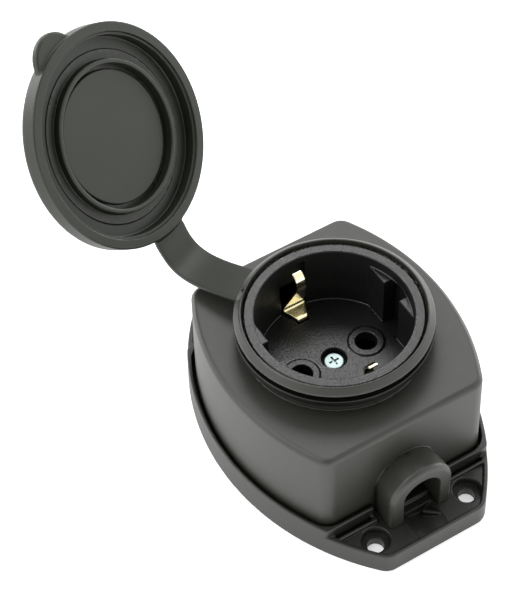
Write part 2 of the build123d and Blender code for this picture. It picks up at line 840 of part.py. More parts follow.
def main():
    """Build and save every piece."""
    os.makedirs("parts", exist_ok=True)
    left, right, earth = terminal_places()
    pieces = {
        "base_plate": make_base_plate(),
        "base_gasket": make_base_gasket(),
        "hood": make_hood(),
        "cable_grommet": make_cable_grommet(),
        "socket_cup": make_socket_cup(),
        "contact_carrier": make_contact_carrier(),
        "left_contact": make_contact(-1),
        "right_contact": make_contact(1),
        "left_contact_spring": make_contact_spring(-1),
        "right_contact_spring": make_contact_spring(1),
        "earth_bracket": make_earth_bracket(),
        "left_wire_clamp": make_wire_clamp(left, clamp_outer - clamp_inner),
        "right_wire_clamp": make_wire_clamp(right, clamp_outer - clamp_inner),
        "earth_wire_clamp": make_wire_clamp(earth, clamp_size),
        "terminal_screws": make_terminal_screws(),
        "carrier_screws": make_carrier_screws(),
        "centre_screw": make_centre_screw(),
        "centre_nut": make_centre_nut(),
        "lid": make_lid(),
        "lid_tether": make_lid_tether(),
    }
    for name, shape in pieces.items():
        save(name, shape)


main()
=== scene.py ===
"""Looks for an outdoor weatherproof socket: moulded hood, base, plug cup, rubber lid and its strap.

All sizes are millimetres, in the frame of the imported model, and become metres when a mesh is made.
"""

import json
import logging
import math
from abc import ABC, abstractmethod
from dataclasses import dataclass, field
from enum import Enum
from typing import Callable

import bmesh
import bpy
import numpy as np
from mathutils import Matrix, Vector

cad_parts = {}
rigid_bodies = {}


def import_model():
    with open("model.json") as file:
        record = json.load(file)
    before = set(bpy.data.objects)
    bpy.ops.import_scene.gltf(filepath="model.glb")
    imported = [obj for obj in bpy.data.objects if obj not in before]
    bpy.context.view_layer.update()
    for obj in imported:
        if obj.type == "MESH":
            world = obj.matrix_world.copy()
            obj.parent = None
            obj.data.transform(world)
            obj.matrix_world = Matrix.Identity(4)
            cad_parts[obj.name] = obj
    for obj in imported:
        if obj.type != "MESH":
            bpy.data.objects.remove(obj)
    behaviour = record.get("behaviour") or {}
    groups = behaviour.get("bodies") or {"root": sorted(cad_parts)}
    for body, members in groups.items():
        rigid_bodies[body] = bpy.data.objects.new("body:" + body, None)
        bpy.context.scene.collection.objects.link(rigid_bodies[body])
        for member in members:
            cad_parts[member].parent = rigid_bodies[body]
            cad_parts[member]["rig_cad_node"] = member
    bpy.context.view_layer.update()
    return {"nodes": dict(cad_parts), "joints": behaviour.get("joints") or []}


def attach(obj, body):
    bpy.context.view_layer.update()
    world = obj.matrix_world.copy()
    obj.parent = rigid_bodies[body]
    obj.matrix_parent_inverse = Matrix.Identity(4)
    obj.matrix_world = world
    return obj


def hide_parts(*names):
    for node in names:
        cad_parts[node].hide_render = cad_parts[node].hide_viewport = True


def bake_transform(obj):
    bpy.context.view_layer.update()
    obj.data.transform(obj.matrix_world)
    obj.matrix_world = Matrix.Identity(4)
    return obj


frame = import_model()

MM = 0.001
TINY = 1e-6

Array = np.ndarray
Field = Callable[[Array, Array, Array], Array]
Corners = tuple[tuple[float, float, float], tuple[float, float, float]]

log = logging.getLogger("socket")


class Body(Enum):
    """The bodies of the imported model."""

    HOUSING = "housing"
    LID = "lid"


class Slot(Enum):
    """The record's material slots."""

    BASE_PLASTIC = "base_plastic"
    HOOD_PLASTIC = "hood_plastic"
    CUP_PLASTIC = "cup_plastic"
    CARRIER_PLASTIC = "carrier_plastic"
    SEAL_RUBBER = "seal_rubber"
    LID_RUBBER = "lid_rubber"
    BRASS = "brass"
    ZINC_STEEL = "zinc_steel"
    SPRING_STEEL = "spring_steel"


# Distance fields: negative inside the material, positive outside, in millimetres


def round_and(a: Array, b: Array, radius: float) -> Array:
    """Material that lies in both fields, with the edge between them rounded.

    Args:
        a: First field.
        b: Second field.
        radius: Radius of the rounded edge.

    Returns:
        The joined field.
    """
    near_edge = np.hypot(np.maximum(radius + a, 0), np.maximum(radius + b, 0))
    return np.minimum(-radius, np.maximum(a, b)) + near_edge


def round_or(a: Array, b: Array, radius: float) -> Array:
    """Material that lies in either field, with a fillet in the corner between them.

    Args:
        a: First field.
        b: Second field.
        radius: Radius of the fillet.

    Returns:
        The joined field.
    """
    return -round_and(-a, -b, radius)


def cut(a: Array, b: Array, radius: float) -> Array:
    """Material of the first field outside the second, with the new edges rounded."""
    return round_and(a, -b, radius)


def either(*fields: Array) -> Array:
    """Union of several fields with sharp corners."""
    joined = fields[0]
    for other in fields[1:]:
        joined = np.minimum(joined, other)
    return joined


def all_of(*fields: Array) -> Array:
    """Overlap of several fields with sharp edges."""
    joined = fields[0]
    for other in fields[1:]:
        joined = np.maximum(joined, other)
    return joined


def span(value: Array, low: float, high: float) -> Array:
    """Field of the layer between two levels."""
    return np.maximum(low - value, value - high)


def capsule(along: Array, across: Array, low: float, high: float, width: float) -> Array:
    """Field of a slot with round ends.

    Args:
        along: Coordinate along the slot.
        across: Coordinate across the slot, from its middle line.
        low: Where the slot starts.
        high: Where the slot ends.
        width: Width of the slot.

    Returns:
        The slot's field.
    """
    beyond = np.maximum(np.abs(along - (low + high) / 2) - (high - low - width) / 2, 0)
    return np.hypot(beyond, across) - width / 2


def heading(angle: float) -> Array:
    """Level unit vector at a plan angle in degrees from +X."""
    return np.array([math.cos(math.radians(angle)), math.sin(math.radians(angle)), 0.0])


@dataclass(frozen=True)
class Outline:
    """Plan outline with two bowed sides, two straight ends and rounded corners."""

    half_width: float
    half_length: float
    side_radius: float
    corner_radius: float

    def grown(self, by: float) -> "Outline":
        """The same outline moved outwards."""
        return Outline(
            self.half_width + by, self.half_length + by, self.side_radius + by, self.corner_radius + by
        )

    def distance(self, x: Array, y: Array) -> Array:
        """Signed distance from the outline.

        Args:
            x: Coordinates across.
            y: Coordinates along.

        Returns:
            The distance, negative inside.
        """
        inset = self.corner_radius
        bow = self.side_radius - inset
        offset = self.side_radius - self.half_width
        end = self.half_length - inset
        x, y = np.abs(x), np.abs(y)
        corner_x = math.sqrt(bow**2 - end**2) - offset
        side = np.hypot(x + offset, y) - bow
        flat = y - end
        dx, dy = x - corner_x, y - end
        normal_x, normal_y = (corner_x + offset) / bow, end / bow
        past_corner = (dx >= 0) & (normal_x * dy - normal_y * dx >= 0)
        return np.where(past_corner, np.hypot(dx, dy), np.maximum(side, flat)) - inset


# Meshes from fields


@dataclass
class FieldMesher:
    """Turns a distance field into a closed mesh whose points lie on the field's surface.

    The grid's margin round the piece is not a whole number of cells, so that no flat face of the
    piece lies in a plane of the grid.
    """

    field: Field
    low: Array
    high: Array
    pitch: float
    margin: float = 2.37
    probe: float = 0.02
    least_slope: float = 0.05

    def values(self) -> Array:
        """Field values at the corners of every cell of the grid."""
        border = self.margin * self.pitch
        axes = [
            np.arange(low - border, high + border + self.pitch, self.pitch)
            for low, high in zip(self.low, self.high)
        ]
        x, y, z = np.ix_(*axes)
        return np.broadcast_to(self.field(x, y, z), tuple(len(a) for a in axes))

    def net(self) -> tuple[Array, Array]:
        """One point in each cell that the surface crosses, and a face across each crossed grid edge.

        Returns:
            The points and the faces.
        """
        values = self.values()
        inside = values < 0
        corner_count = np.zeros(tuple(n - 1 for n in inside.shape), np.int8)
        for i, j, k in np.ndindex(2, 2, 2):
            nx, ny, nz = corner_count.shape
            corner_count += inside[i : i + nx, j : j + ny, k : k + nz]
        crossed = (corner_count > 0) & (corner_count < 8)
        cells = np.argwhere(crossed)
        number = np.full(crossed.shape, -1, np.int64)
        number[crossed] = np.arange(len(cells))
        return self.points_in(cells, values), self.faces_between(inside, number)

    def points_in(self, cells: Array, values: Array) -> Array:
        """Mean of the edge crossings in each cell.

        Args:
            cells: Grid indices of the crossed cells.
            values: Field values at the grid corners.

        Returns:
            One point for each cell.
        """
        total = np.zeros((len(cells), 3))
        hits = np.zeros(len(cells))
        units = np.eye(3, dtype=int)
        for axis in range(3):
            u, v = units[(axis + 1) % 3], units[(axis + 2) % 3]
            for i, j in np.ndindex(2, 2):
                start = cells + i * u + j * v
                here = values[tuple(start.T)]
                there = values[tuple((start + units[axis]).T)]
                crossing = (here < 0) != (there < 0)
                share = here[crossing] / (here[crossing] - there[crossing])
                total[crossing] += start[crossing] + share[:, None] * units[axis]
                hits[crossing] += 1
        return self.low + self.pitch * (total / hits[:, None] - self.margin)

    @staticmethod
    def faces_between(inside: Array, number: Array) -> Array:
        """Faces that join the cells round each grid edge that the surface crosses.

        Args:
            inside: Which grid corners are in the material.
            number: Point number of each cell.

        Returns:
            Four point numbers for each face, turned outwards.
        """
        units = np.eye(3, dtype=int)
        faces = []
        for axis in range(3):
            u, v = units[(axis + 1) % 3], units[(axis + 2) % 3]
            first = np.take(inside, range(inside.shape[axis] - 1), axis)
            second = np.take(inside, range(1, inside.shape[axis]), axis)
            edges = np.argwhere(first != second)
            ring = [edges - u - v, edges - v, edges, edges - u]
            quads = np.stack([number[tuple(c.T)] for c in ring], 1)
            leaving = first[tuple(edges.T)]
            faces.append(np.where(leaving[:, None], quads, quads[:, ::-1]))
        return np.concatenate(faces)

    def slope(self, points: Array) -> Array:
        """Gradient of the field at each point."""
        x, y, z = points.T
        h = self.probe
        return np.stack(
            [
                self.field(x + h, y, z) - self.field(x - h, y, z),
                self.field(x, y + h, z) - self.field(x, y - h, z),
                self.field(x, y, z + h) - self.field(x, y, z - h),
            ],
            1,
        ) / (2 * h)

    def settle(self, points: Array, rounds: int = 3) -> Array:
        """Move points onto the surface.

        Args:
            points: Points near the surface.
            rounds: How many times each point is moved.

        Returns:
            The moved points.
        """
        for _ in range(rounds):
            slope = self.slope(points)
            size = np.maximum((slope**2).sum(1), self.least_slope)
            step = np.clip(self.field(*points.T), -self.pitch / 2, self.pitch / 2)
            points = points - (step / size)[:, None] * slope
        return points

    def normals(self, points: Array) -> Array:
        """Outward unit normals at points on the surface."""
        slope = self.slope(points)
        return slope / np.maximum(np.linalg.norm(slope, axis=1), TINY)[:, None]

    def bend(self, points: Array, reach: float = 0.12) -> Array:
        """How sharply the surface bends, per millimetre: above nought on edges, below in corners.

        Args:
            points: Points on the surface.
            reach: How far apart the normals are compared.

        Returns:
            One value for each point.
        """
        total = np.zeros(len(points))
        for axis in range(3):
            step = np.eye(3)[axis] * reach
            total += (self.normals(points + step) - self.normals(points - step))[:, axis]
        return total / (2 * reach)


def set_bend(mesh: bpy.types.Mesh, values: Array, limit: float = 4.0) -> None:
    """Store how sharply each point of a mesh bends, for the worn edges with painted sheen and the
    corners with painted shade of its finish.

    Args:
        mesh: The mesh.
        values: One value for each point.
        limit: Sharpest bend that is told apart.
    """
    attribute = mesh.attributes.new("bend", "FLOAT", "POINT")
    attribute.data.foreach_set("value", np.clip(values, -limit, limit).astype(np.float32))


def add_object(name: str, mesh: bpy.types.Mesh) -> bpy.types.Object:
    """Put a mesh in the scene as an object.

    Args:
        name: Name of the object.
        mesh: Its mesh.

    Returns:
        The object.
    """
    made = bpy.data.objects.new(name, mesh)
    bpy.context.scene.collection.objects.link(made)
    return made


def new_mesh(name: str, points: Array, faces: list[list[int]]) -> bpy.types.Mesh:
    """Smooth-shaded mesh from points in millimetres.

    Args:
        name: Name of the mesh.
        points: Points in millimetres.
        faces: Point numbers of each face.

    Returns:
        The mesh, in metres.
    """
    mesh = bpy.data.meshes.new(name)
    mesh.from_pydata((np.asarray(points) * MM).tolist(), [], faces)
    mesh.validate()
    mesh.shade_smooth()
    return mesh


def evaluated_mesh(obj: bpy.types.Object) -> bpy.types.Mesh:
    """Copy of an object's mesh with its modifiers applied."""
    depsgraph = bpy.context.evaluated_depsgraph_get()
    return bpy.data.meshes.new_from_object(obj.evaluated_get(depsgraph), depsgraph=depsgraph)


def points_of(mesh: bpy.types.Mesh) -> Array:
    """Points of a mesh in millimetres."""
    flat = np.zeros(len(mesh.vertices) * 3)
    mesh.vertices.foreach_get("co", flat)
    return flat.reshape(-1, 3) / MM


def clean(mesh: bpy.types.Mesh, least: float = 0.002) -> None:
    """Join points of a mesh that all but coincide and drop the faces that vanish with them.

    Args:
        mesh: The mesh.
        least: Length in millimetres below which an edge is taken as nought.
    """
    work = bmesh.new()
    work.from_mesh(mesh)
    bmesh.ops.dissolve_degenerate(work, dist=least * MM, edges=work.edges)
    work.to_mesh(mesh)
    work.free()


def moulded_mesh(name: str, mesher: FieldMesher, keep: float) -> bpy.types.Mesh:
    """Thinned-out mesh of a field, with the field's own normals.

    Args:
        name: Name of the mesh.
        mesher: The field and its grid.
        keep: Share of the faces that stays after thinning.

    Returns:
        The mesh, in metres.
    """
    points, faces = mesher.net()
    full = new_mesh(name + "_dense", mesher.settle(points), faces.tolist())
    dense = add_object(name + "_dense", full)
    thin = dense.modifiers.new("thin", "DECIMATE")
    thin.ratio = keep
    mesh = evaluated_mesh(dense)
    mesh.name = name
    bpy.data.objects.remove(dense)
    settled = mesher.settle(points_of(mesh), rounds=2)
    mesh.vertices.foreach_set("co", (settled * MM).astype(np.float32).ravel())
    clean(mesh)
    settled = points_of(mesh)
    mesh.shade_smooth()
    mesh.normals_split_custom_set_from_vertices(mesher.normals(settled).tolist())
    set_bend(mesh, mesher.bend(settled))
    mesh.update()
    return mesh


# Shader node groups, built once and shared by the finishes


class Nodes:
    """Small helper that adds and links nodes in one node tree."""

    # The Mix node's sockets for colours, which follow those for numbers and vectors
    mix_first, mix_second, mix_result = 6, 7, 2

    def __init__(self, tree: bpy.types.NodeTree) -> None:
        """Keep the tree that nodes go into."""
        self.tree = tree

    def add(self, kind: str, **settings: object) -> bpy.types.Node:
        """Add a node.

        Args:
            kind: Blender's name of the node type.
            **settings: Properties to set, and in_0, in_1 and so on for the values of numbered inputs.

        Returns:
            The node.
        """
        node = self.tree.nodes.new(kind)
        for name, value in settings.items():
            if name.startswith("in_"):
                node.inputs[int(name[3:])].default_value = value
            else:
                setattr(node, name, value)
        return node

    def link(self, out: bpy.types.NodeSocket, into: bpy.types.NodeSocket) -> None:
        """Join an output to an input."""
        self.tree.links.new(out, into)

    def math(
        self, operation: str, a: object, b: object = 0.0, clamp: bool = False
    ) -> bpy.types.NodeSocket:
        """Add a Math node.

        Args:
            operation: Blender's name of the operation.
            a: First value, a number or an output.
            b: Second value, a number or an output.
            clamp: Keep the result between 0 and 1.

        Returns:
            The node's output.
        """
        node = self.add("ShaderNodeMath", operation=operation, use_clamp=clamp)
        for socket, value in zip(node.inputs, (a, b)):
            if isinstance(value, bpy.types.NodeSocket):
                self.link(value, socket)
            else:
                socket.default_value = value
        return node.outputs[0]

    def ramp(self, value: bpy.types.NodeSocket, low: float, high: float) -> bpy.types.NodeSocket:
        """Smooth step of a value from 0 at low to 1 at high."""
        node = self.add("ShaderNodeMapRange", interpolation_type="SMOOTHSTEP", in_1=low, in_2=high)
        self.link(value, node.inputs[0])
        return node.outputs[0]

    def noise(self, scale: object, detail: float, roughness: float = 0.5) -> bpy.types.NodeSocket:
        """Noise over the piece's own coordinates.

        Args:
            scale: Number of features to the metre, a number or an output.
            detail: Octaves of detail.
            roughness: Strength of the finer octaves.

        Returns:
            The noise value, about 0.5 on average.
        """
        node = self.add("ShaderNodeTexNoise", in_3=detail, in_4=roughness)
        self.link(self.add("ShaderNodeTexCoord").outputs["Object"], node.inputs["Vector"])
        if isinstance(scale, bpy.types.NodeSocket):
            self.link(scale, node.inputs["Scale"])
        else:
            node.inputs["Scale"].default_value = scale
        return node.outputs[0]

    def mix(self, share: object, a: object, b: object) -> bpy.types.NodeSocket:
        """Mix of two colours.

        Args:
            share: Share of the second colour, a number or an output.
            a: First colour, three numbers or an output.
            b: Second colour, three numbers or an output.

        Returns:
            The mixed colour.
        """
        node = self.add("ShaderNodeMix", data_type="RGBA")
        sockets = (node.inputs["Factor"], node.inputs[self.mix_first], node.inputs[self.mix_second])
        for socket, value in zip(sockets, (share, a, b)):
            if isinstance(value, bpy.types.NodeSocket):
                self.link(value, socket)
            elif isinstance(value, tuple):
                socket.default_value = (*value, 1.0)
            else:
                socket.default_value = value
        return node.outputs[self.mix_result]


class EffectGroup(ABC):
    """A shader effect kept as one node group and placed in each material that uses it.

    In the effects, a value named noise holds the octaves and the strength of the finer ones, and a
    value named range holds where a mask starts and where it is full.
    """

    name: str
    inputs: dict[str, float]
    outputs: tuple[str, ...]

    def tree(self) -> bpy.types.NodeTree:
        """The node group, built the first time that it is asked for."""
        found = bpy.data.node_groups.get(self.name)
        if found:
            return found
        tree = bpy.data.node_groups.new(self.name, "ShaderNodeTree")
        for name, value in self.inputs.items():
            socket = tree.interface.new_socket(name, in_out="INPUT", socket_type="NodeSocketFloat")
            socket.default_value = value
        for name in self.outputs:
            tree.interface.new_socket(name, in_out="OUTPUT", socket_type="NodeSocketFloat")
        nodes = Nodes(tree)
        given = nodes.add("NodeGroupInput").outputs
        results = nodes.add("NodeGroupOutput").inputs
        for socket, value in zip(results, self.wire(nodes, given)):
            nodes.link(value, socket)
        return tree

    @abstractmethod
    def wire(self, nodes: Nodes, given: bpy.types.NodeInputs) -> list[bpy.types.NodeSocket]:
        """Add the effect's nodes.

        Args:
            nodes: Helper for the group's tree.
            given: The group's inputs, by name.

        Returns:
            One output socket for each of the group's outputs.
        """

    def place(self, nodes: Nodes, **values: float) -> bpy.types.NodeOutputs:
        """Put the group in a material.

        Args:
            nodes: Helper for the material's tree.
            **values: Values of the group's inputs.

        Returns:
            The group's outputs, by name.
        """
        node = nodes.add("ShaderNodeGroup", node_tree=self.tree())
        for name, value in values.items():
            node.inputs[name].default_value = value
        return node.outputs


class MouldGrain(EffectGroup):
    """Spark-eroded mould texture: a fine even grain with a little larger unevenness."""

    name = "mould_grain"
    inputs = {"Scale": 1700.0, "Waviness": 0.3}
    outputs = ("Height", "Grain")
    grain_noise = (2.0, 0.6)
    wave_noise = (2.0, 0.5)
    wave_scale = 120.0

    def wire(self, nodes: Nodes, given: bpy.types.NodeInputs) -> list[bpy.types.NodeSocket]:
        """Add the grain's nodes; see the base class."""
        grain = nodes.noise(given["Scale"], *self.grain_noise)
        wave = nodes.noise(self.wave_scale, *self.wave_noise)
        height = nodes.math("ADD", grain, nodes.math("MULTIPLY", wave, given["Waviness"]))
        return [height, grain]


class Stipple(EffectGroup):
    """Small raised dots, close together, as in a stippled mould."""

    name = "stipple"
    inputs = {"Scale": 1500.0, "Size": 0.5}
    outputs = ("Height",)

    def wire(self, nodes: Nodes, given: bpy.types.NodeInputs) -> list[bpy.types.NodeSocket]:
        """Add the dots' nodes; see the base class."""
        cells = nodes.add("ShaderNodeTexVoronoi")
        nodes.link(nodes.add("ShaderNodeTexCoord").outputs["Object"], cells.inputs["Vector"])
        nodes.link(given["Scale"], cells.inputs["Scale"])
        return [nodes.math("SUBTRACT", given["Size"], cells.outputs["Distance"], True)]


class EdgeWearSheenAndShade(EffectGroup):
    """Masks of worn edges, partly real and partly painted sheen, and of concave corners that take
    painted shade, from how sharply the mesh bends.
    """

    name = "edge_wear_sheen_and_shade"
    inputs = {"Sharp": 1.6, "Patchiness": 0.6}
    outputs = ("Edge", "Corner")
    patch_scale = 260.0
    patch_noise = (3.0, 0.6)
    patch_range = (0.3, 0.75)
    mask_range = (0.1, 1.0)

    def wire(self, nodes: Nodes, given: bpy.types.NodeInputs) -> list[bpy.types.NodeSocket]:
        """Add the masks' nodes; see the base class."""
        bend = nodes.add("ShaderNodeAttribute", attribute_name="bend").outputs["Fac"]
        ratio = nodes.math("DIVIDE", bend, given["Sharp"])
        patches = nodes.ramp(nodes.noise(self.patch_scale, *self.patch_noise), *self.patch_range)
        kept = nodes.math("SUBTRACT", 1.0, nodes.math("MULTIPLY", given["Patchiness"], patches))
        # Edge mask: worn edges, partly real and partly painted sheen.
        edge = nodes.math("MULTIPLY", nodes.ramp(ratio, *self.mask_range), kept)
        # Corner mask: painted shade in concave corners, where shade falls.
        corner = nodes.ramp(nodes.math("MULTIPLY", ratio, -1.0), *self.mask_range)
        return [edge, corner]


class Mottle(EffectGroup):
    """Soft blotches and faint handling marks, as masks."""

    name = "mottle"
    inputs = {"Scale": 60.0, "Marks": 300.0}
    outputs = ("Blotch", "Mark")
    blotch_noise = (3.0, 0.55)
    blotch_range = (0.32, 0.68)
    mark_noise = (4.0, 0.7)
    mark_range = (0.58, 0.78)

    def wire(self, nodes: Nodes, given: bpy.types.NodeInputs) -> list[bpy.types.NodeSocket]:
        """Add the masks' nodes; see the base class."""
        blotch = nodes.ramp(nodes.noise(given["Scale"], *self.blotch_noise), *self.blotch_range)
        mark = nodes.ramp(nodes.noise(given["Marks"], *self.mark_noise), *self.mark_range)
        return [blotch, mark]


class SettledDust(EffectGroup):
    """Masks of thin dust on faces that look upwards, broken up by fine noise, and of upright walls."""

    name = "settled_dust"
    inputs = {"Cover": 0.5}
    outputs = ("Dust", "Upright")
    upward_range = (0.3, 1.0)
    speck_scale = 900.0
    speck_noise = (5.0, 0.75)
    speck_range = (0.45, 0.75)

    def wire(self, nodes: Nodes, given: bpy.types.NodeInputs) -> list[bpy.types.NodeSocket]:
        """Add the masks' nodes; see the base class."""
        split = nodes.add("ShaderNodeSeparateXYZ")
        nodes.link(nodes.add("ShaderNodeTexCoord").outputs["Normal"], split.inputs[0])
        upward = nodes.ramp(split.outputs[2], *self.upward_range)
        speck = nodes.ramp(nodes.noise(self.speck_scale, *self.speck_noise), *self.speck_range)
        dust = nodes.math("MULTIPLY", nodes.math("MULTIPLY", upward, speck), given["Cover"])
        return [dust, nodes.math("SUBTRACT", 1.0, upward)]


class DrawnLines(EffectGroup):
    """Fine lines along one direction, as rolling leaves on strip and turning on a screw."""

    name = "drawn_lines"
    inputs = {"Scale": 2500.0, "Stretch": 30.0}
    outputs = ("Line",)
    line_noise = (3.0, 0.6)

    def wire(self, nodes: Nodes, given: bpy.types.NodeInputs) -> list[bpy.types.NodeSocket]:
        """Add the lines' nodes; see the base class."""
        split = nodes.add("ShaderNodeSeparateXYZ")
        nodes.link(nodes.add("ShaderNodeTexCoord").outputs["Object"], split.inputs[0])
        joined = nodes.add("ShaderNodeCombineXYZ")
        nodes.link(split.outputs[0], joined.inputs[0])
        for axis in (1, 2):
            nodes.link(nodes.math("DIVIDE", split.outputs[axis], given["Stretch"]), joined.inputs[axis])
        octaves, strength = self.line_noise
        lines = nodes.add("ShaderNodeTexNoise", in_3=octaves, in_4=strength)
        nodes.link(joined.outputs[0], lines.inputs["Vector"])
        nodes.link(given["Scale"], lines.inputs["Scale"])
        return [lines.outputs[0]]


MOULD_GRAIN = MouldGrain()
STIPPLE = Stipple()
EDGE_WEAR_SHEEN_AND_SHADE = EdgeWearSheenAndShade()
MOTTLE = Mottle()
SETTLED_DUST = SettledDust()
DRAWN_LINES = DrawnLines()

Colour = tuple[float, float, float]


def new_material(name: str) -> tuple[bpy.types.Material, Nodes, bpy.types.Node]:
    """Material with only a Principled shader.

    Args:
        name: Name of the material.

    Returns:
        The material, a helper for its tree and the shader node.
    """
    made = bpy.data.materials.new(name)
    made.use_nodes = True
    shader = made.node_tree.nodes["Principled BSDF"]
    return made, Nodes(made.node_tree), shader


def add_bump(nodes: Nodes, shader: bpy.types.Node, height: bpy.types.NodeSocket, depth: float) -> None:
    """Feed a height to the shader's normal.

    Args:
        nodes: Helper for the material's tree.
        shader: The Principled shader.
        height: The height, about 0 to 1.
        depth: Depth in metres of a height of 1.
    """
    bump = nodes.add("ShaderNodeBump")
    bump.inputs["Strength"].default_value = 1.0
    bump.inputs["Distance"].default_value = depth
    nodes.link(height, bump.inputs["Height"])
    nodes.link(bump.outputs["Normal"], shader.inputs["Normal"])


@dataclass(frozen=True)
class MouldedFinish:
    """Moulded plastic or rubber: grain, blotches, worn edges lightened partly as painted sheen, corners
    darkened with painted shade and a little dust.
    """

    slot: Slot
    colour: Colour
    shade: Colour
    # Lighter colour of worn edges, partly real and partly painted sheen.
    rubbed_and_sheen: Colour
    roughness: float
    specular: float
    grain_scale: float
    grain_depth: float
    waviness: float = 0.3
    stipple_scale: float = 0.0
    stipple_depth: float = 0.0
    blotch: float = 0.5
    # Share of that lighter colour on the edges, partly real and partly painted sheen.
    wear_and_sheen: float = 0.35
    dust: float = 0.03
    dust_colour: Colour = (0.16, 0.16, 0.15)
    # Painted shade: share and near-black colour of the darkening painted into concave corners.
    painted_shade: float = 0.85
    painted_shade_colour: Colour = (0.0016, 0.0017, 0.0016)
    wall_roughness: float = 0.0
    mark_polish: float = 0.08
    edge_polish: float = 0.1
    corner_polish: float = 0.14

    def build(self) -> bpy.types.Material:
        """Make the material.

        Returns:
            The material.
        """
        made, nodes, shader = new_material(self.slot.value)
        grain = MOULD_GRAIN.place(nodes, Scale=self.grain_scale, Waviness=self.waviness)
        mottle = MOTTLE.place(nodes)
        # Bend masks: Edge for worn edges with painted sheen, Corner for painted shade in concave
        # corners.
        wear_and_sheen = EDGE_WEAR_SHEEN_AND_SHADE.place(nodes)
        dust = SETTLED_DUST.place(nodes, Cover=self.dust)
        share = nodes.math("MULTIPLY", mottle["Blotch"], self.blotch)
        speckle = nodes.math("MULTIPLY", grain["Grain"], 1.0 - self.blotch)
        colour = nodes.mix(nodes.math("ADD", share, speckle, True), self.colour, self.shade)
        # Painted sheen, partly real: edges are lightened towards the lighter edge colour.
        colour = nodes.mix(nodes.math("MULTIPLY", wear_and_sheen["Edge"], self.wear_and_sheen), colour, self.rubbed_and_sheen)
        colour = nodes.mix(dust["Dust"], colour, self.dust_colour)
        # Painted shade: concave corners are darkened towards a near-black colour.
        painted_shade_share = nodes.math("MULTIPLY", wear_and_sheen["Corner"], self.painted_shade)
        colour = nodes.mix(painted_shade_share, colour, self.painted_shade_colour)
        nodes.link(colour, shader.inputs["Base Color"])
        rough = nodes.math("MULTIPLY_ADD", mottle["Mark"], -self.mark_polish)
        rough.node.inputs[2].default_value = self.roughness
        rough = nodes.math("SUBTRACT", rough, nodes.math("MULTIPLY", wear_and_sheen["Edge"], self.edge_polish))
        rough = nodes.math("SUBTRACT", rough, nodes.math("MULTIPLY", wear_and_sheen["Corner"], self.corner_polish))
        rough = nodes.math("ADD", rough, nodes.math("MULTIPLY", dust["Upright"], self.wall_roughness))
        nodes.link(rough, shader.inputs["Roughness"])
        height = grain["Height"]
        if self.stipple_scale:
            dots = STIPPLE.place(nodes, Scale=self.stipple_scale)["Height"]
            height = nodes.math("ADD", height, nodes.math("MULTIPLY", dots, self.stipple_depth))
        add_bump(nodes, shader, height, self.grain_depth * MM)
        shader.inputs["Specular IOR Level"].default_value = self.specular
        return made


@dataclass(frozen=True)
class MetalFinish:
    """Bare or plated metal: drawn lines, tarnish blotches and handling marks."""

    slot: Slot
    colour: Colour
    tarnish: Colour
    roughness: float
    line_depth: float
    tarnish_share: float = 0.5
    line_scale: float = 2500.0
    blotch_scale: float = 240.0
    mark_scale: float = 700.0
    mark_dulling: float = 0.15

    def build(self) -> bpy.types.Material:
        """Make the material.

        Returns:
            The material.
        """
        made, nodes, shader = new_material(self.slot.value)
        lines = DRAWN_LINES.place(nodes, Scale=self.line_scale)["Line"]
        mottle = MOTTLE.place(nodes, Scale=self.blotch_scale, Marks=self.mark_scale)
        share = nodes.math("MULTIPLY", mottle["Blotch"], self.tarnish_share)
        nodes.link(nodes.mix(share, self.colour, self.tarnish), shader.inputs["Base Color"])
        rough = nodes.math("MULTIPLY_ADD", mottle["Mark"], self.mark_dulling)
        rough.node.inputs[2].default_value = self.roughness
        nodes.link(rough, shader.inputs["Roughness"])
        shader.inputs["Metallic"].default_value = 1.0
        add_bump(nodes, shader, lines, self.line_depth * MM)
        return made


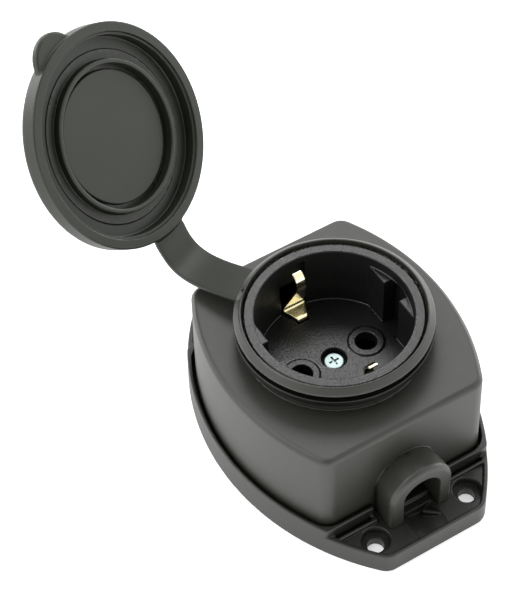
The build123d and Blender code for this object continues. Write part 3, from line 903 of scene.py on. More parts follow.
# The third colour of each moulded finish is its lighter edge colour, partly real and partly painted
# sheen; moulded finishes also paint shade into concave corners.
FINISHES: tuple[MouldedFinish | MetalFinish, ...] = (
    MouldedFinish(
        Slot.HOOD_PLASTIC, (0.0136, 0.0150, 0.0100), (0.0170, 0.0186, 0.0132), (0.034, 0.036, 0.031),
        roughness=0.47, specular=0.64, grain_scale=1700.0, grain_depth=0.016,
    ),
    MouldedFinish(
        Slot.BASE_PLASTIC, (0.0074, 0.0086, 0.0052), (0.0100, 0.0113, 0.0076), (0.030, 0.0315, 0.0275),
        roughness=0.45, specular=0.55, grain_scale=1700.0, grain_depth=0.016,
    ),
    MouldedFinish(
        Slot.CUP_PLASTIC, (0.0026, 0.0031, 0.0026), (0.0040, 0.0045, 0.0040), (0.012, 0.013, 0.012),
        roughness=0.32, specular=0.45, grain_scale=1900.0, grain_depth=0.018,
        stipple_scale=2000.0, stipple_depth=3.2, wear_and_sheen=0.05, dust=0.005, painted_shade=0.2, wall_roughness=0.22,
    ),
    MouldedFinish(
        Slot.LID_RUBBER, (0.0058, 0.0088, 0.0030), (0.0086, 0.0120, 0.0056), (0.024, 0.0268, 0.0215),
        roughness=0.45, specular=0.42, grain_scale=1500.0, grain_depth=0.015, waviness=0.8,
        blotch=0.75, dust=0.02,
    ),
    MouldedFinish(
        Slot.SEAL_RUBBER, (0.005, 0.0055, 0.005), (0.008, 0.0085, 0.0075), (0.014, 0.014, 0.013),
        roughness=0.7, specular=0.35, grain_scale=1600.0, grain_depth=0.012, dust=0.01,
    ),
    MouldedFinish(
        Slot.CARRIER_PLASTIC, (0.008, 0.008, 0.0085), (0.011, 0.011, 0.0115), (0.02, 0.02, 0.021),
        roughness=0.55, specular=0.35, grain_scale=1800.0, grain_depth=0.008, dust=0.01,
    ),
    MetalFinish(
        Slot.BRASS, (0.98, 0.92, 0.66), (0.92, 0.80, 0.48), roughness=0.15, line_depth=0.001,
    ),
    MetalFinish(
        Slot.ZINC_STEEL, (0.28, 0.34, 0.335), (0.17, 0.21, 0.21), roughness=0.34, line_depth=0.0012,
    ),
    MetalFinish(
        Slot.SPRING_STEEL, (0.36, 0.36, 0.37), (0.22, 0.2, 0.18), roughness=0.34, line_depth=0.003,
    ),
)


class Palette:
    """The materials, one for each slot."""

    def __init__(self) -> None:
        """Build every finish."""
        self.materials = {finish.slot: finish.build() for finish in FINISHES}

    def dress(self, obj: bpy.types.Object, slot: Slot) -> None:
        """Give an object one finish.

        Args:
            obj: The object.
            slot: The material slot of its finish.
        """
        obj.data.materials.clear()
        obj.data.materials.append(self.materials[slot])


# The socket's pieces


class MouldedPiece(ABC):
    """A piece whose skin is worked out from a distance field and that stands for one CAD node."""

    node: str
    body: Body
    slot: Slot
    pitch: float
    keep: float
    quick_pitch = 1.7

    @abstractmethod
    def field(self, x: Array, y: Array, z: Array) -> Array:
        """Signed distance from the piece's skin.

        Args:
            x: Coordinates along X.
            y: Coordinates along Y.
            z: Coordinates along Z.

        Returns:
            The distance, negative inside.
        """

    @abstractmethod
    def extent(self) -> Corners:
        """Lowest and highest corner of the piece, as it is moulded."""

    def placing(self) -> Matrix:
        """Movement from the place that the piece is drawn in to its place on the part."""
        return Matrix.Identity(4)

    def build(self, palette: Palette) -> bpy.types.Object:
        """Make, place and dress the piece.

        Args:
            palette: The materials.

        Returns:
            The piece.
        """
        low, high = self.extent()
        pitch = self.pitch * 1.0
        mesher = FieldMesher(self.field, np.array(low), np.array(high), pitch)
        mesh = moulded_mesh(self.node + "_skin", mesher, self.keep)
        mesh.transform(self.placing())
        made = add_object(self.node + "_skin", mesh)
        palette.dress(made, self.slot)
        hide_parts(self.node)
        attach(made, self.body.value)
        log.info("%s: %d faces", made.name, len(mesh.polygons))
        return made


@dataclass
class Hood(MouldedPiece):
    """Hollow cover with the collar on its roof and the cable arch on its front wall."""

    plan: Outline = Outline(31.15, 31.8, 61.8, 4.5)
    foot: float = 4.5
    top: float = 34.1
    wall: float = 2.4
    roof: float = 2.6
    roof_edge: float = 1.5
    draft: float = math.tan(math.radians(0.7))
    neck_radius: float = 22.7
    flange_radius: float = 24.45
    flange_low: float = 41.5
    flange_land: float = 41.8
    bevel_width: float = 1.55
    bevel_height: float = 1.6
    bore_radius: float = 21.3
    lip_bore_radius: float = 22.5
    lip_low: float = 40.82
    web: float = 0.4
    notch_heading: float = 133.0
    notch_half_width: float = 1.8
    notch_inner: float = 22.975
    arch_inner: float = 5.2
    arch_outer: float = 8.2
    arch_flare: float = math.radians(5.0)
    arch_axis: float = 14.3
    arch_front: float = 39.3
    arch_edge: float = 1.5
    arch_foot: float = 5.4
    wall_hole: float = 4.0
    edge: float = 0.3
    inner_edge: float = 1.0
    bore_edge: float = 0.25
    notch_edge: float = 0.2
    nose: float = 0.22
    root: float = 0.15
    overlap: float = 1.0
    node = "hood"
    body = Body.HOUSING
    slot = Slot.HOOD_PLASTIC
    pitch = 0.3
    keep = 0.25

    @property
    def collar_top(self) -> float:
        """Height of the collar's top edge."""
        return self.flange_land + self.bevel_height

    def extent(self) -> Corners:
        """Corners of the hood; see the base class."""
        half = self.plan
        low = (-half.half_width, -self.arch_front, self.foot)
        return low, (half.half_width, half.half_length, self.collar_top)

    def arch_distance(self, x: Array, z: Array) -> Array:
        """Distance from the arch's middle line: round above its axis and upright below."""
        return np.hypot(x, np.maximum(z - self.arch_axis, 0))

    def collar(self, x: Array, y: Array, z: Array) -> Array:
        """Neck with its overhanging, bevelled and notched flange."""
        r = np.hypot(x, y)
        slant = math.hypot(self.bevel_width, self.bevel_height)
        bevel = (r - self.flange_radius) * self.bevel_height + (z - self.flange_land) * self.bevel_width
        flange = round_and(r - self.flange_radius, bevel / slant, self.edge)
        flange = round_and(flange, self.flange_low - z, self.nose)
        flange = round_and(flange, z - self.collar_top, self.edge)
        neck = all_of(r - self.neck_radius, self.top - self.roof - z, z - self.collar_top + self.edge)
        out, across = heading(self.notch_heading), heading(self.notch_heading + 90)
        notch = all_of(
            np.abs(x * across[0] + y * across[1]) - self.notch_half_width,
            self.notch_inner - (x * out[0] + y * out[1]),
            self.flange_land - z,
        )
        return cut(round_or(flange, neck, self.edge), notch, self.notch_edge)

    def arch(self, x: Array, y: Array, z: Array) -> Array:
        """Arched cable hood, flared a little and rounded at its mouth, not yet hollow."""
        ahead = -y - self.plan.half_length + self.wall
        outline = self.arch_distance(x, z) - self.arch_outer - ahead * math.tan(self.arch_flare)
        outline = outline * math.cos(self.arch_flare)
        solid = round_and(outline, -y - self.arch_front, self.arch_edge)
        solid = round_and(solid, self.arch_foot - z, self.edge)
        return np.maximum(solid, y + self.plan.half_length - self.wall)

    def field(self, x: Array, y: Array, z: Array) -> Array:
        """Distance from the hood's skin; see the base class."""
        r = np.hypot(x, y)
        lean = (z - self.foot) * self.draft
        side = self.plan.distance(x, y) + lean
        shell = round_and(side, z - self.top, self.roof_edge)
        shell = round_and(shell, self.foot - z, self.edge)
        solid = round_or(shell, self.arch(x, y, z), self.root)
        inside = round_and(side + self.wall, z - self.top + self.roof, self.inner_edge)
        solid = cut(solid, inside, self.edge)
        solid = round_or(solid, self.collar(x, y, z), self.root)
        mouth = np.maximum(self.arch_distance(x, z) - self.arch_inner, y + self.plan.half_length)
        hole = np.maximum(np.hypot(x, z - self.arch_axis) - self.wall_hole, y)
        lip_bore = np.where(z > self.flange_land, self.lip_bore_radius, self.lip_bore_radius - self.web)
        bore = either(r - self.bore_radius, np.maximum(r - lip_bore, self.lip_low - z))
        bore = np.maximum(bore, self.top - self.roof - self.overlap - z)
        return cut(cut(solid, either(mouth, hole), self.edge), bore, self.bore_edge)


@dataclass
class BasePlate(MouldedPiece):
    """Tray with a rim round the hood's foot and two lower ears with screw holes."""

    plan: Outline = Outline(33.0, 46.35, 65.9, 4.5)
    rim_plan: Outline = Outline(34.05, 33.65, 65.9, 6.0)
    tray_plan: Outline = Outline(31.95, 32.6, 62.6, 5.3)
    floor: float = 3.0
    rim_height: float = 9.0
    draft: float = math.tan(math.radians(1.2))
    ear_height: float = 6.4
    ear_border: float = 1.2
    ear_floor: float = 5.3
    ridge_front: float = 35.55
    slot_place: float = 34.15
    slot_width: float = 1.0
    slot_inner: float = 11.066
    slot_outer: float = 21.555
    slot_floor: float = 4.0
    gap_half: float = 10.066
    gap_front: float = 36.05
    gap_back: float = 31.8
    channel_radius: float = 5.2
    channel_axis: float = 8.0
    channel_start: float = 37.1
    channel_end: float = 44.65
    step_half: float = 4.9
    step_front: float = 35.05
    step_back: float = 34.15
    step_top: float = 6.2
    tooth_place: tuple[float, float] = (3.2, -40.1)
    tooth_size: tuple[float, float] = (2.8, 0.5)
    tooth_turn: float = -42.0
    tooth_top: float = 4.9
    tooth_foot: float = 1.5
    hole_place: tuple[float, float] = (13.45, 39.5)
    hole_radius: float = 2.1
    head_radius: float = 3.6
    head_floor: float = 2.8
    post_place: tuple[float, float] = (14.5, 12.0)
    post_radius: float = 3.5
    post_top: float = 6.0
    edge: float = 0.28
    soft_edge: float = 0.3
    small_edge: float = 0.25
    fine_edge: float = 0.2
    ear_corner: float = 0.5
    root: float = 0.15
    overlap: float = 1.0
    node = "base_plate"
    body = Body.HOUSING
    slot = Slot.BASE_PLASTIC
    pitch = 0.33
    keep = 0.38

    def extent(self) -> Corners:
        """Corners of the base; see the base class."""
        x, y = self.plan.half_width, self.plan.half_length
        return (-x, -y, 0.0), (x, y, self.rim_height)

    def ear_cuts(self, x: Array, y: Array, z: Array) -> Array:
        """Recesses of the ears: their floors, drain slots, the arch's gap and the cable channel."""
        reach = np.abs(y)
        ear = self.plan.grown(-self.ear_border).distance(x, y)
        ear = round_and(ear, self.ridge_front - reach, self.ear_corner)
        ear = round_and(ear, self.ear_floor - z, self.fine_edge)
        inner, outer, width = self.slot_inner, self.slot_outer, self.slot_width
        back = capsule(x, y - self.slot_place, -outer, outer, width)
        front = capsule(np.abs(x), y + self.slot_place, inner, outer, width)
        slots = np.maximum(either(back, front), self.slot_floor - z)
        gap = all_of(
            np.abs(x) - self.gap_half, span(y, -self.gap_front, -self.gap_back), self.ear_floor - z
        )
        trough = np.hypot(x, z - self.channel_axis) - self.channel_radius
        channel = round_and(trough, span(y, -self.channel_end, -self.channel_start), self.soft_edge)
        return either(ear, slots, gap, channel)

    def screw_cuts(self, x: Array, y: Array, z: Array) -> Array:
        """The four screw holes and the seats of the screw heads."""
        r = np.hypot(np.abs(x) - self.hole_place[0], np.abs(y) - self.hole_place[1])
        return either(r - self.hole_radius, np.maximum(r - self.head_radius, self.head_floor - z))

    def cord_stops(self, x: Array, y: Array, z: Array) -> Array:
        """The low bar under the arch and the askew tooth in the channel."""
        bar = span(y, -self.step_front, -self.step_back)
        bar = round_and(np.abs(x) - self.step_half, bar, self.fine_edge)
        bar = round_and(bar, z - self.step_top, self.small_edge)
        bar = np.maximum(bar, self.floor - self.overlap - z)
        along, across = heading(self.tooth_turn), heading(self.tooth_turn + 90)
        dx, dy = x - self.tooth_place[0], y - self.tooth_place[1]
        tooth = round_and(
            np.abs(dx * along[0] + dy * along[1]) - self.tooth_size[0],
            np.abs(dx * across[0] + dy * across[1]) - self.tooth_size[1],
            self.soft_edge,
        )
        tooth = round_and(tooth, z - self.tooth_top, self.small_edge)
        return either(bar, np.maximum(tooth, self.tooth_foot - z))

    def field(self, x: Array, y: Array, z: Array) -> Array:
        """Distance from the base's skin; see the base class."""
        side = self.plan.distance(x, y) + z * self.draft
        rim = round_and(self.rim_plan.distance(x, y), z - self.rim_height, self.soft_edge)
        upper = round_or(rim, z - self.ear_height, self.small_edge)
        solid = round_and(round_and(side, upper, self.soft_edge), -z, self.soft_edge)
        tray = round_and(self.tray_plan.distance(x, y), self.floor - z, self.soft_edge)
        solid = cut(solid, either(tray, self.ear_cuts(x, y, z)), self.edge)
        post_x, post_y = self.post_place
        post = np.hypot(np.abs(x) - post_x, np.abs(y) - post_y) - self.post_radius
        post = all_of(post, z - self.post_top, self.floor - self.overlap - z)
        solid = round_or(solid, either(post, self.cord_stops(x, y, z)), self.root)
        return cut(solid, self.screw_cuts(x, y, z), self.fine_edge)


@dataclass
class SocketCup(MouldedPiece):
    """Plug recess: lipped cup with plug guides, earth slots, pin holes and the screw recess."""

    radius: float = 21.0
    lip_radius: float = 21.9
    mouth_radius: float = 19.43
    step_radius: float = 19.03
    bottom: float = 21.86
    floor: float = 24.66
    step_level: float = 30.52
    step_run: float = 3.0
    lip_low: float = 40.82
    top: float = 42.42
    guide_flat: float = 16.6
    guide_top: float = 39.52
    groove_half: float = 3.2
    groove_reach: float = 20.23
    slot_half: float = 3.6
    slot_reach: float = 16.5
    slot_top: float = 40.26
    foot_half: float = 1.7
    foot_inner: float = 13.8
    foot_outer: float = 15.3
    pin_place: float = 9.5
    pin_radius: float = 2.7
    ring_radius: float = 4.6
    ring_top: float = 25.06
    recess_radius: float = 3.15
    recess_floor: float = 22.46
    boss_radius: float = 4.5
    boss_bottom: float = 20.46
    hole_radius: float = 2.1
    edge: float = 0.3
    corner: float = 0.4
    lip_edge: float = 0.22
    opening_edge: float = 0.22
    wall_drop: float = 0.5
    overlap: float = 1.0
    node = "socket_cup"
    body = Body.HOUSING
    slot = Slot.CUP_PLASTIC
    pitch = 0.27
    keep = 0.38

    def extent(self) -> Corners:
        """Corners of the cup; see the base class."""
        r = self.lip_radius
        return (-r, -r, self.boss_bottom), (r, r, self.top)

    def recess(self, x: Array, y: Array, z: Array) -> Array:
        """The space that takes the plug, between its guides."""
        r = np.hypot(x, y)
        lower = round_and(r - self.step_radius, self.floor - z, self.corner)
        slope = (self.mouth_radius - self.step_radius) / self.step_run
        above_step = z - self.step_level + self.step_run / 2
        upper = r - self.step_radius - above_step * slope
        upper = all_of(r - self.mouth_radius, upper, -above_step)
        space = either(lower, upper)
        clear = round_or(np.abs(x) - self.guide_flat, self.guide_top - z, self.edge)
        groove = all_of(
            np.abs(x) - self.groove_reach,
            np.abs(y) - self.groove_half,
            span(z, self.floor, self.guide_top),
        )
        return either(round_and(space, clear, self.corner), groove)

    def openings(self, x: Array, y: Array, z: Array) -> Array:
        """Earth slots, pin holes and the screw's recess and hole."""
        reach = np.abs(y)
        clip = all_of(
            np.abs(x) - self.slot_half,
            self.slot_reach - reach,
            span(z, self.floor, self.slot_top),
        )
        foot = all_of(
            np.abs(x) - self.foot_half,
            span(reach, self.foot_inner, self.foot_outer),
            z - self.floor - self.overlap,
        )
        pin = np.hypot(np.abs(x) - self.pin_place, y) - self.pin_radius
        r = np.hypot(x, y)
        screw = either(np.maximum(r - self.recess_radius, self.recess_floor - z), r - self.hole_radius)
        return either(clip, foot, np.maximum(either(pin, screw), z - self.floor - 2 * self.overlap))

    def field(self, x: Array, y: Array, z: Array) -> Array:
        """Distance from the cup's skin; see the base class."""
        r = np.hypot(x, y)
        wall = all_of(r - self.radius, z - self.top + self.wall_drop)
        lip = round_and(r - self.lip_radius, span(z, self.lip_low, self.top), self.lip_edge)
        solid = round_and(either(wall, lip), self.bottom - z, self.edge)
        boss = round_and(r - self.boss_radius, span(z, self.boss_bottom, self.floor), self.edge)
        solid = round_or(solid, boss, self.edge)
        solid = cut(solid, self.recess(x, y, z), self.edge)
        ring = np.hypot(np.abs(x) - self.pin_place, y) - self.ring_radius
        ring = round_and(ring, z - self.ring_top, self.edge)
        solid = round_or(solid, np.maximum(ring, self.bottom + self.overlap - z), self.edge)
        return cut(solid, self.openings(x, y, z), self.opening_edge)


@dataclass
class EarthBracket(MouldedPiece):
    """Bent brass strip that lies on the carrier and comes up in the cup as two sprung clips."""

    path: tuple[tuple[float, float], ...] = (
        (0.0, 16.41), (14.55, 16.41), (14.55, 25.11), (19.4, 25.36), (15.2, 35.96),
    )
    thickness: float = 0.7
    bend: float = 0.8
    tip_radius: float = 3.3
    tip_turn: float = 89.0
    front: tuple[tuple[float, float], ...] = (
        (16.0, 3.5), (16.76, 3.5), (18.96, 1.3), (24.6, 1.3),
        (24.66, 3.2), (26.06, 3.2), (35.96, 1.3), (42.0, 1.3),
    )
    plan: tuple[tuple[float, float], ...] = ((0.0, 1.3), (14.2, 1.3), (18.7, 3.2), (20.0, 3.2))
    plan_low: float = 21.86
    tab_end: float = 12.5
    tab_place: float = 11.0
    tab_half: float = 3.5
    hole_radius: float = 2.1
    screw_place: float = 8.3
    screw_radius: float = 1.6
    edge: float = 0.14
    bend_steps: int = 7
    tip_steps: int = 16
    no_limit: float = -1.0
    node = "earth_bracket"
    body = Body.HOUSING
    slot = Slot.BRASS
    pitch = 0.2
    keep = 0.4

    @property
    def low(self) -> float:
        """Height of the strip's underside on the carrier."""
        return self.path[0][1] - self.thickness / 2

    def extent(self) -> Corners:
        """Corners of the strip; see the base class."""
        reach = self.path[-2][0] + self.thickness / 2
        high = self.path[-1][1] + 2 * self.tip_radius
        return (-self.front[0][1], -reach, self.low), (self.tab_end, reach, high)

    def middle_line(self) -> Array:
        """Points along the middle of the strip, reach and height, with its bends and curled tip."""
        corners = np.array(self.path)
        points = [corners[0]]
        for before, corner, after in zip(corners, corners[1:], corners[2:]):
            back, on = (side / np.linalg.norm(side) for side in (before - corner, after - corner))
            half = math.acos(back @ on) / 2
            middle = corner + (back + on) / np.linalg.norm(back + on) * self.bend / math.sin(half)
            for share in np.linspace(0, 1, self.bend_steps):
                spoke = corner + (back * (1 - share) + on * share) * self.bend / math.tan(half) - middle
                points.append(middle + spoke / np.linalg.norm(spoke) * self.bend)
        way = (corners[-1] - corners[-2]) / np.linalg.norm(corners[-1] - corners[-2])
        aside = np.array([way[1], -way[0]])
        middle = corners[-1] + aside * self.tip_radius
        for turn in np.radians(np.linspace(0, self.tip_turn, self.tip_steps)):
            points.append(middle + (way * math.sin(turn) - aside * math.cos(turn)) * self.tip_radius)
        return np.array(points)

    def strip(self, reach: Array, z: Array) -> Array:
        """Distance from the strip's two faces, as if it were endlessly wide."""
        line = self.middle_line()
        nearest = np.hypot(reach - line[0][0], z - line[0][1])
        for start, end in zip(line, line[1:]):
            run = end - start
            along = (reach - start[0]) * run[0] + (z - start[1]) * run[1]
            share = np.clip(along / (run @ run), 0, 1)
            away = np.hypot(reach - start[0] - share * run[0], z - start[1] - share * run[1])
            nearest = np.minimum(nearest, away)
        return nearest - self.thickness / 2

    def field(self, x: Array, y: Array, z: Array) -> Array:
        """Distance from the bracket's skin; see the base class."""
        reach = np.abs(y)
        sides = np.abs(x) - np.interp(z, *np.array(self.front).T)
        foot = np.abs(x) - np.interp(reach, *np.array(self.plan).T)
        foot = np.where(z > self.plan_low, foot, self.no_limit)
        solid = round_and(self.strip(reach, z), np.maximum(sides, foot), self.edge)
        tab = round_and(span(x, 0, self.tab_end), np.abs(y + self.tab_place) - self.tab_half, self.edge)
        tab = round_and(tab, span(z, self.low, self.low + self.thickness), self.edge)
        hole = np.maximum(np.hypot(x, y) - self.hole_radius, z - self.plan_low)
        screw = np.hypot(x - self.screw_place, y + self.tab_place) - self.screw_radius
        return cut(either(solid, tab), either(hole, screw), self.edge)


@dataclass(frozen=True)
class LidSwing:
    """Movement of the lid from closed, as it is drawn, to open, as it rests."""

    joint: int = 0

    def matrix(self) -> Matrix:
        """The movement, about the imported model's hinge line, back from the joint's closed end."""
        joint = frame["joints"][self.joint]
        foot = Vector(joint["pos_m"])
        turn = Matrix.Rotation(math.radians(-joint["range_deg"][1]), 4, Vector(joint["axis"]))
        return Matrix.Translation(foot) @ turn @ Matrix.Translation(-foot)


@dataclass
class Lid(MouldedPiece):
    """Rubber cap with a skirt, a sealing ridge, a finger tab and the strap's lug."""

    radius: float = 27.95
    mouth: float = 24.75
    rim: float = 40.25
    floor: float = 43.74
    top: float = 45.41
    top_edge: float = 1.5
    rim_step: float = 0.65
    step_radius: float = 21.5
    step_level: float = 43.39
    ridge_outer: float = 19.1
    ridge_inner: float = 17.8
    ridge_low: float = 41.32
    groove_level: float = 44.24
    pad_radius: float = 16.7
    pad_level: float = 43.14
    tab_heading: float = -78.0
    tab_place: float = 25.1
    tab_radius: float = 7.0
    tab_low: float = 41.25
    tab_high: float = 43.45
    lug_heading: float = 115.7
    lug_half: float = 5.5
    lug_reach: float = 29.1
    lug_low: float = 40.75
    lug_high: float = 41.95
    rim_edge: float = 0.35
    mouth_edge: float = 0.2
    step_root: float = 0.3
    ridge_edge: float = 0.45
    ridge_root: float = 0.2
    groove_edge: float = 0.1
    tab_edge: float = 0.7
    lug_edge: float = 0.5
    outwork_root: float = 0.6
    overlap: float = 0.5
    swing: LidSwing = field(default_factory=LidSwing)
    node = "lid"
    body = Body.LID
    slot = Slot.LID_RUBBER
    pitch = 0.27
    keep = 0.38

    def extent(self) -> Corners:
        """Corners of the closed lid; see the base class."""
        reach = self.tab_place + self.tab_radius
        return (-reach, -reach, self.rim), (reach, reach, self.top)

    def placing(self) -> Matrix:
        """The swing from closed to open."""
        return self.swing.matrix()

    def outworks(self, x: Array, y: Array, z: Array) -> Array:
        """Finger tab and strap lug on the skirt."""
        r = np.hypot(x, y)
        out = heading(self.tab_heading) * self.tab_place
        tab = np.hypot(x - out[0], y - out[1]) - self.tab_radius
        tab = round_and(tab, span(z, self.tab_low, self.tab_high), self.tab_edge)
        out, across = heading(self.lug_heading), heading(self.lug_heading + 90)
        ahead, aside = x * out[0] + y * out[1], x * across[0] + y * across[1]
        lug = span(z, self.lug_low, self.lug_high)
        lug = round_and(np.abs(aside) - self.lug_half, lug, self.lug_edge)
        lug = all_of(lug, ahead - self.lug_reach, -ahead)
        return np.maximum(either(tab, lug), (self.mouth + self.radius) / 2 - r)

    def field(self, x: Array, y: Array, z: Array) -> Array:
        """Distance from the closed lid's skin; see the base class."""
        r = np.hypot(x, y)
        cap = round_and(r - self.radius, z - self.top, self.top_edge)
        cap = round_and(cap, self.rim - z, self.rim_edge)
        hollow = round_and(r - self.mouth, z - self.floor, self.rim_edge)
        mouth_step = np.maximum(r - self.mouth - self.rim_step, z - self.rim - self.rim_step)
        cap = cut(cap, either(hollow, mouth_step), self.mouth_edge)
        cap = round_or(cap, np.maximum(r - self.step_radius, self.step_level - z), self.step_root)
        ridge = span(r, self.ridge_inner, self.ridge_outer)
        ridge = round_and(ridge, self.ridge_low - z, self.ridge_edge)
        cap = round_or(cap, ridge, self.ridge_root)
        groove = np.maximum(span(r, self.pad_radius, self.ridge_inner), z - self.groove_level)
        pad = round_and(r - self.pad_radius, self.pad_level - z, self.ridge_edge)
        pad = np.maximum(pad, z - self.top + self.overlap)
        cap = either(cut(cap, groove, self.groove_edge), pad)
        cap = np.maximum(cap, z - self.top)
        return round_or(cap, self.outworks(x, y, z), self.outwork_root)


@dataclass
class LidTether:
    """Rubber ring under the collar's flange and the strap that bends up to the open lid."""

    ring_inner: float = 22.95
    ring_outer: float = 24.55
    ring_low: float = 38.0
    ring_high: float = 39.85
    ring_edge: float = 0.2
    ring_sides: int = 160
    root_reach: float = 23.2
    root_heading: float = 119.8
    root_pitch: float = -9.0
    root_pull: float = 14.4
    lug_heading: float = 115.7
    lug_reach: float = 29.1
    lug_level: float = 41.35
    lug_pull: float = 8.4
    lug_overlap: float = 0.4
    width: float = 10.6
    flare: float = 0.4
    flare_power: int = 4
    thickness: float = 1.2
    edge: float = 0.35
    stations: int = 64
    corner_steps: int = 5
    width_steps: int = 12
    sharp_angle: float = 40.0
    # False inward bend given to the ring's points under the flange, which paints the flange's shade on
    # them.
    flange_shade_bend: float = -1.6
    flange_shade_reach: float = 0.05
    bend_start: float = 0.8
    node: str = "lid_tether"
    swing: LidSwing = field(default_factory=LidSwing)

    def handles(self) -> Array:
        """Bezier handles of the strap's middle line, from the ring to the open lid's lug."""
        pitch = math.radians(self.root_pitch)
        out = heading(self.root_heading)
        start = out * self.root_reach + np.array([0, 0, self.ring_high - self.thickness / 2])
        away = out * math.cos(pitch) + np.array([0, 0, math.sin(pitch)])
        lug_out = heading(self.lug_heading)
        closed_end = lug_out * self.lug_reach + np.array([0, 0, self.lug_level])
        matrix = np.array(self.swing.matrix())
        end = matrix[:3, :3] @ closed_end + matrix[:3, 3] / MM
        back = matrix[:3, :3] @ lug_out
        return np.array([start, start + away * self.root_pull, end + back * self.lug_pull, end])

    def across_ends(self) -> tuple[Array, Array]:
        """Directions across the strap at the ring and at the lug."""
        matrix = np.array(self.swing.matrix())[:3, :3]
        return heading(self.root_heading + 90), matrix @ heading(self.lug_heading + 90)

    def section(self, width: float) -> Array:
        """Rounded outline of the strap's section, across and through, as closed points.

        Args:
            width: Width of the strap there.

        Returns:
            The points, two numbers each.
        """
        x, y, r = width / 2 - self.edge, self.thickness / 2 - self.edge, self.edge
        points = []
        for quarter, (sx, sy) in enumerate(((1, 1), (-1, 1), (-1, -1), (1, -1))):
            for step in range(self.corner_steps + 1):
                turn = math.radians(90 * (quarter + step / self.corner_steps))
                points.append((sx * x + r * math.cos(turn), sy * y + r * math.sin(turn)))
            if quarter % 2 == 0:
                side = np.linspace(sx * x, -sx * x, self.width_steps + 1)[1:-1]
                points += [(value, sy * (y + r)) for value in side]
        return np.array(points)

    def strap(self) -> bpy.types.Object:
        """The bent strap, closed at both ends, which runs a little way into the lid's lug."""
        handles, (first, last) = self.handles(), self.across_ends()
        rings, reach = [], 1 + self.lug_overlap / self.lug_pull / 3
        for share in np.linspace(0, reach, self.stations):
            rest = 1 - share
            weights = np.array([rest**3, 3 * rest**2 * share, 3 * rest * share**2, share**3])
            slopes = np.array([rest**2, 2 * rest * share, share**2])
            along = slopes @ np.diff(handles, axis=0)
            along /= np.linalg.norm(along)
            across = first * rest + last * share
            across -= along * (across @ along)
            across /= np.linalg.norm(across)
            through = np.cross(along, across)
            flare = self.flare * (2 * min(share, 1) - 1) ** self.flare_power
            outline = self.section(self.width + flare)
            rings.append(weights @ handles + outline[:, :1] * across + outline[:, 1:] * through)
        return add_object("strap", self.skin("strap", rings))

    def ring(self) -> bpy.types.Object:
        """The ring round the neck, with rounded edges."""
        middle_r = (self.ring_inner + self.ring_outer) / 2
        middle_z = (self.ring_low + self.ring_high) / 2
        half_r = (self.ring_outer - self.ring_inner) / 2
        half_z = (self.ring_high - self.ring_low) / 2
        profile = []
        for quarter, (sr, sz) in enumerate(((1, 1), (-1, 1), (-1, -1), (1, -1))):
            for step in range(self.corner_steps + 1):
                turn = math.radians(90 * (quarter + step / self.corner_steps))
                profile.append((
                    middle_r + sr * (half_r - self.ring_edge) + self.ring_edge * math.cos(turn),
                    middle_z + sz * (half_z - self.ring_edge) + self.ring_edge * math.sin(turn),
                ))
        count = len(profile)
        points, faces = [], []
        for side in range(self.ring_sides):
            out = heading(360 * side / self.ring_sides)
            points += [out * r + np.array([0, 0, z]) for r, z in profile]
            here, there = side * count, (side + 1) % self.ring_sides * count
            for i in range(count):
                j = (i + 1) % count
                faces.append([here + i, there + i, there + j, here + j])
        return add_object("ring", new_mesh("ring", np.array(points), faces))

    @staticmethod
    def skin(name: str, rings: list[Array]) -> bpy.types.Mesh:
        """Closed mesh over a row of sections with equal point counts.

        Args:
            name: Name of the mesh.
            rings: The sections, in order.

        Returns:
            The mesh.
        """
        count = len(rings[0])
        faces = [list(range(count))[::-1]]
        for ring in range(len(rings) - 1):
            base = ring * count
            for i in range(count):
                j = (i + 1) % count
                faces.append([base + i, base + j, base + count + j, base + count + i])
        last = (len(rings) - 1) * count
        faces.append([last + i for i in range(count)])
        return new_mesh(name, np.concatenate(rings), faces)

    def build(self, palette: Palette) -> bpy.types.Object:
        """Join ring and strap and dress them.

        Args:
            palette: The materials.

        Returns:
            The tether.
        """
        strap, ring = self.strap(), self.ring()
        weld = ring.modifiers.new("strap", "BOOLEAN")
        weld.operation, weld.solver, weld.object = "UNION", "EXACT", strap
        mesh = evaluated_mesh(ring)
        mesh.name = self.node + "_skin"
        for scrap in (strap, ring):
            bpy.data.objects.remove(scrap)
        mesh.shade_smooth()
        mesh.set_sharp_from_angle(angle=math.radians(self.sharp_angle))
        # Painted shade: the ring's points under the flange get a false inward bend, so the finish
        # paints them near black as the flange's shade; the other points get no edge or corner marks.
        from_axis = np.hypot(*points_of(mesh)[:, :2].T)
        under_flange = from_axis < self.ring_outer + self.flange_shade_reach
        set_bend(mesh, np.where(under_flange, self.flange_shade_bend, 0.0))
        made = add_object(self.node + "_skin", mesh)
        palette.dress(made, Slot.LID_RUBBER)
        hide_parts(self.node)
        handles = self.handles()
        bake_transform(made)
        log.info("%s: %d faces", made.name, len(mesh.polygons))
        return made


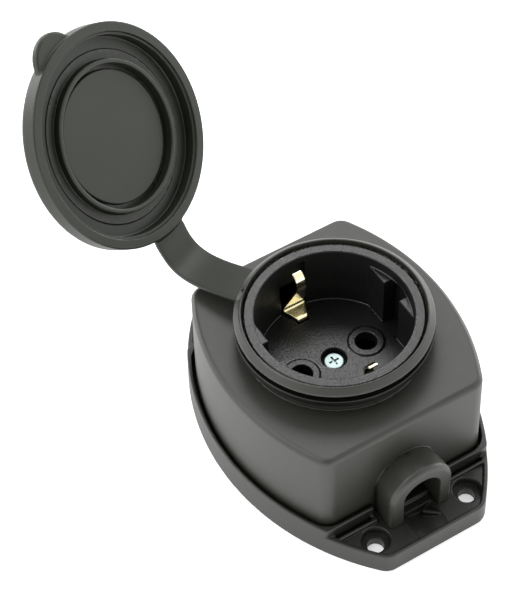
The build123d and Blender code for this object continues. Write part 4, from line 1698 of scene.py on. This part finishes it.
@dataclass
class InnerWorks:
    """The pieces that keep their CAD shape: contacts, screws, carrier, gasket and grommet."""

    finishes: dict[str, Slot] = field(default_factory=lambda: {
        "base_gasket": Slot.SEAL_RUBBER,
        "cable_grommet": Slot.SEAL_RUBBER,
        "contact_carrier": Slot.CARRIER_PLASTIC,
        "left_contact": Slot.BRASS,
        "right_contact": Slot.BRASS,
        "left_contact_spring": Slot.SPRING_STEEL,
        "right_contact_spring": Slot.SPRING_STEEL,
        "left_wire_clamp": Slot.ZINC_STEEL,
        "right_wire_clamp": Slot.ZINC_STEEL,
        "earth_wire_clamp": Slot.ZINC_STEEL,
        "terminal_screws": Slot.ZINC_STEEL,
        "carrier_screws": Slot.ZINC_STEEL,
        "centre_screw": Slot.ZINC_STEEL,
        "centre_nut": Slot.ZINC_STEEL,
    })

    def dress(self, palette: Palette) -> None:
        """Give each piece its finish.

        Args:
            palette: The materials.
        """
        for node, slot in self.finishes.items():
            palette.dress(frame["nodes"][node], slot)
            log.info("%s: %s", node, slot.value)


@dataclass(frozen=True)
class PaperFinish:
    """Matt white paper with faint cloudiness, which glows a little so that the floor stays white."""

    name: str = "floor_paper"
    colour: Colour = (0.93, 0.93, 0.93)
    shade: Colour = (0.95, 0.95, 0.95)
    cloud_scale: float = 6.0
    cloud_octaves: float = 2.0
    roughness: float = 0.9
    specular: float = 0.1
    glow_colour: Colour = (1.0, 1.0, 1.0)
    glow: float = 0.44

    def build(self) -> bpy.types.Material:
        """Make the material.

        Returns:
            The material.
        """
        made, nodes, shader = new_material(self.name)
        clouds = nodes.noise(self.cloud_scale, self.cloud_octaves)
        nodes.link(nodes.mix(clouds, self.colour, self.shade), shader.inputs["Base Color"])
        shader.inputs["Roughness"].default_value = self.roughness
        shader.inputs["Specular IOR Level"].default_value = self.specular
        shader.inputs["Emission Color"].default_value = (*self.glow_colour, 1.0)
        shader.inputs["Emission Strength"].default_value = self.glow
        return made


@dataclass(frozen=True)
class SoftLight:
    """A square soft light aimed at the part."""

    name: str
    place: tuple[float, float, float]
    size: float
    power: float
    target: tuple[float, float, float] = (0.0, 0.0, 20.0)

    def build(self) -> None:
        """Hang the light in the scene."""
        data = bpy.data.lights.new(self.name, "AREA")
        data.size = self.size * MM
        data.energy = self.power
        made = bpy.data.objects.new(self.name, data)
        bpy.context.scene.collection.objects.link(made)
        made.location = Vector(self.place) * MM
        aim = Vector(self.target) * MM - made.location
        made.rotation_euler = aim.to_track_quat("-Z", "Y").to_euler()


@dataclass
class Studio:
    """White floor, even white surroundings, soft lights and the camera of the photograph."""

    floor_half: float = 2000.0
    floor_drop: float = 0.05
    paper: PaperFinish = PaperFinish()
    azimuth: float = -29.447
    elevation: float = 51.035
    roll: float = -2.573
    eye: tuple[float, float, float] = (-159.2, -244.1, 409.4)
    lens: float = 117.88
    sensor: float = 36.0
    clip: tuple[float, float] = (0.01, 20.0)
    sky: float = 1.2
    horizon: float = 2.1
    sky_range: tuple[float, float] = (0.0, 0.6)
    camera_side: float = 0.45
    camera_side_spread: tuple[float, float] = (0.72, 0.97)
    lights: tuple[SoftLight, ...] = (
        SoftLight("key", (-450.0, 150.0, 700.0), 500.0, 2.0),
        SoftLight("back_box", (230.0, 400.0, 600.0), 280.0, 1.25),
        SoftLight("left_panel", (-260.0, 650.0, 110.0), 350.0, 1.4),
        SoftLight("right_panel", (690.0, 200.0, 110.0), 350.0, 1.4),
    )

    def floor(self) -> bpy.types.Object:
        """The pale floor that the part lies on."""
        half = self.floor_half
        corners = [(-half, -half), (half, -half), (half, half), (-half, half)]
        points = np.array([(x, y, -self.floor_drop) for x, y in corners])
        made = add_object("floor", new_mesh("floor", points, [[0, 1, 2, 3]]))
        made.data.materials.append(self.paper.build())
        return made

    def surroundings(self) -> None:
        """White room, brighter at the horizon than overhead and dim where the photographer stands."""
        world = bpy.data.worlds.new("white_room")
        bpy.context.scene.world = world
        world.use_nodes = True
        nodes = Nodes(world.node_tree)
        split = nodes.add("ShaderNodeSeparateXYZ")
        way = nodes.add("ShaderNodeTexCoord").outputs["Generated"]
        nodes.link(way, split.inputs[0])
        height = nodes.ramp(split.outputs[2], *self.sky_range)
        camera_way = Vector(self.eye).normalized()
        facing = nodes.add("ShaderNodeVectorMath", operation="DOT_PRODUCT", in_1=camera_way)
        nodes.link(way, facing.inputs[0])
        near = nodes.ramp(facing.outputs["Value"], *self.camera_side_spread)
        low, high, dim = ((value,) * 3 for value in (self.horizon, self.sky, self.camera_side))
        room = nodes.mix(near, nodes.mix(height, low, high), dim)
        nodes.link(room, world.node_tree.nodes["Background"].inputs["Color"])

    def camera(self) -> None:
        """The camera at the photograph's angle."""
        az, el, roll = (math.radians(a) for a in (self.azimuth, self.elevation, self.roll))
        right = Vector((math.cos(az), math.sin(az), 0))
        back = Vector((math.sin(az) * math.cos(el), -math.cos(az) * math.cos(el), math.sin(el)))
        up = back.cross(right)
        side = right * math.cos(roll) + up * math.sin(roll)
        rise = up * math.cos(roll) - right * math.sin(roll)
        data = bpy.data.cameras.new("camera")
        data.sensor_fit = "VERTICAL"
        data.sensor_height = self.sensor
        data.lens = self.lens
        data.clip_start, data.clip_end = self.clip
        made = bpy.data.objects.new("camera", data)
        bpy.context.scene.collection.objects.link(made)
        turn = Matrix((side, rise, back)).transposed().to_4x4()
        made.matrix_world = Matrix.Translation(Vector(self.eye) * MM) @ turn
        bpy.context.scene.camera = made

    def build(self) -> None:
        """Set up floor, surroundings, lights and camera."""
        self.floor()
        self.surroundings()
        for light in self.lights:
            light.build()
        self.camera()
        bpy.context.scene.view_settings.view_transform = "Standard"
        log.info("studio: floor, lights and camera")


def main() -> None:
    """Build the pieces, dress them and set up the studio."""
    logging.basicConfig(level=logging.INFO, format="%(name)s %(message)s")
    palette = Palette()
    for piece in (Hood(), BasePlate(), SocketCup(), EarthBracket(), Lid(), LidTether()):
        piece.build(palette)
    InnerWorks().dress(palette)
    Studio().build()


if __name__ == "__main__":
    main()
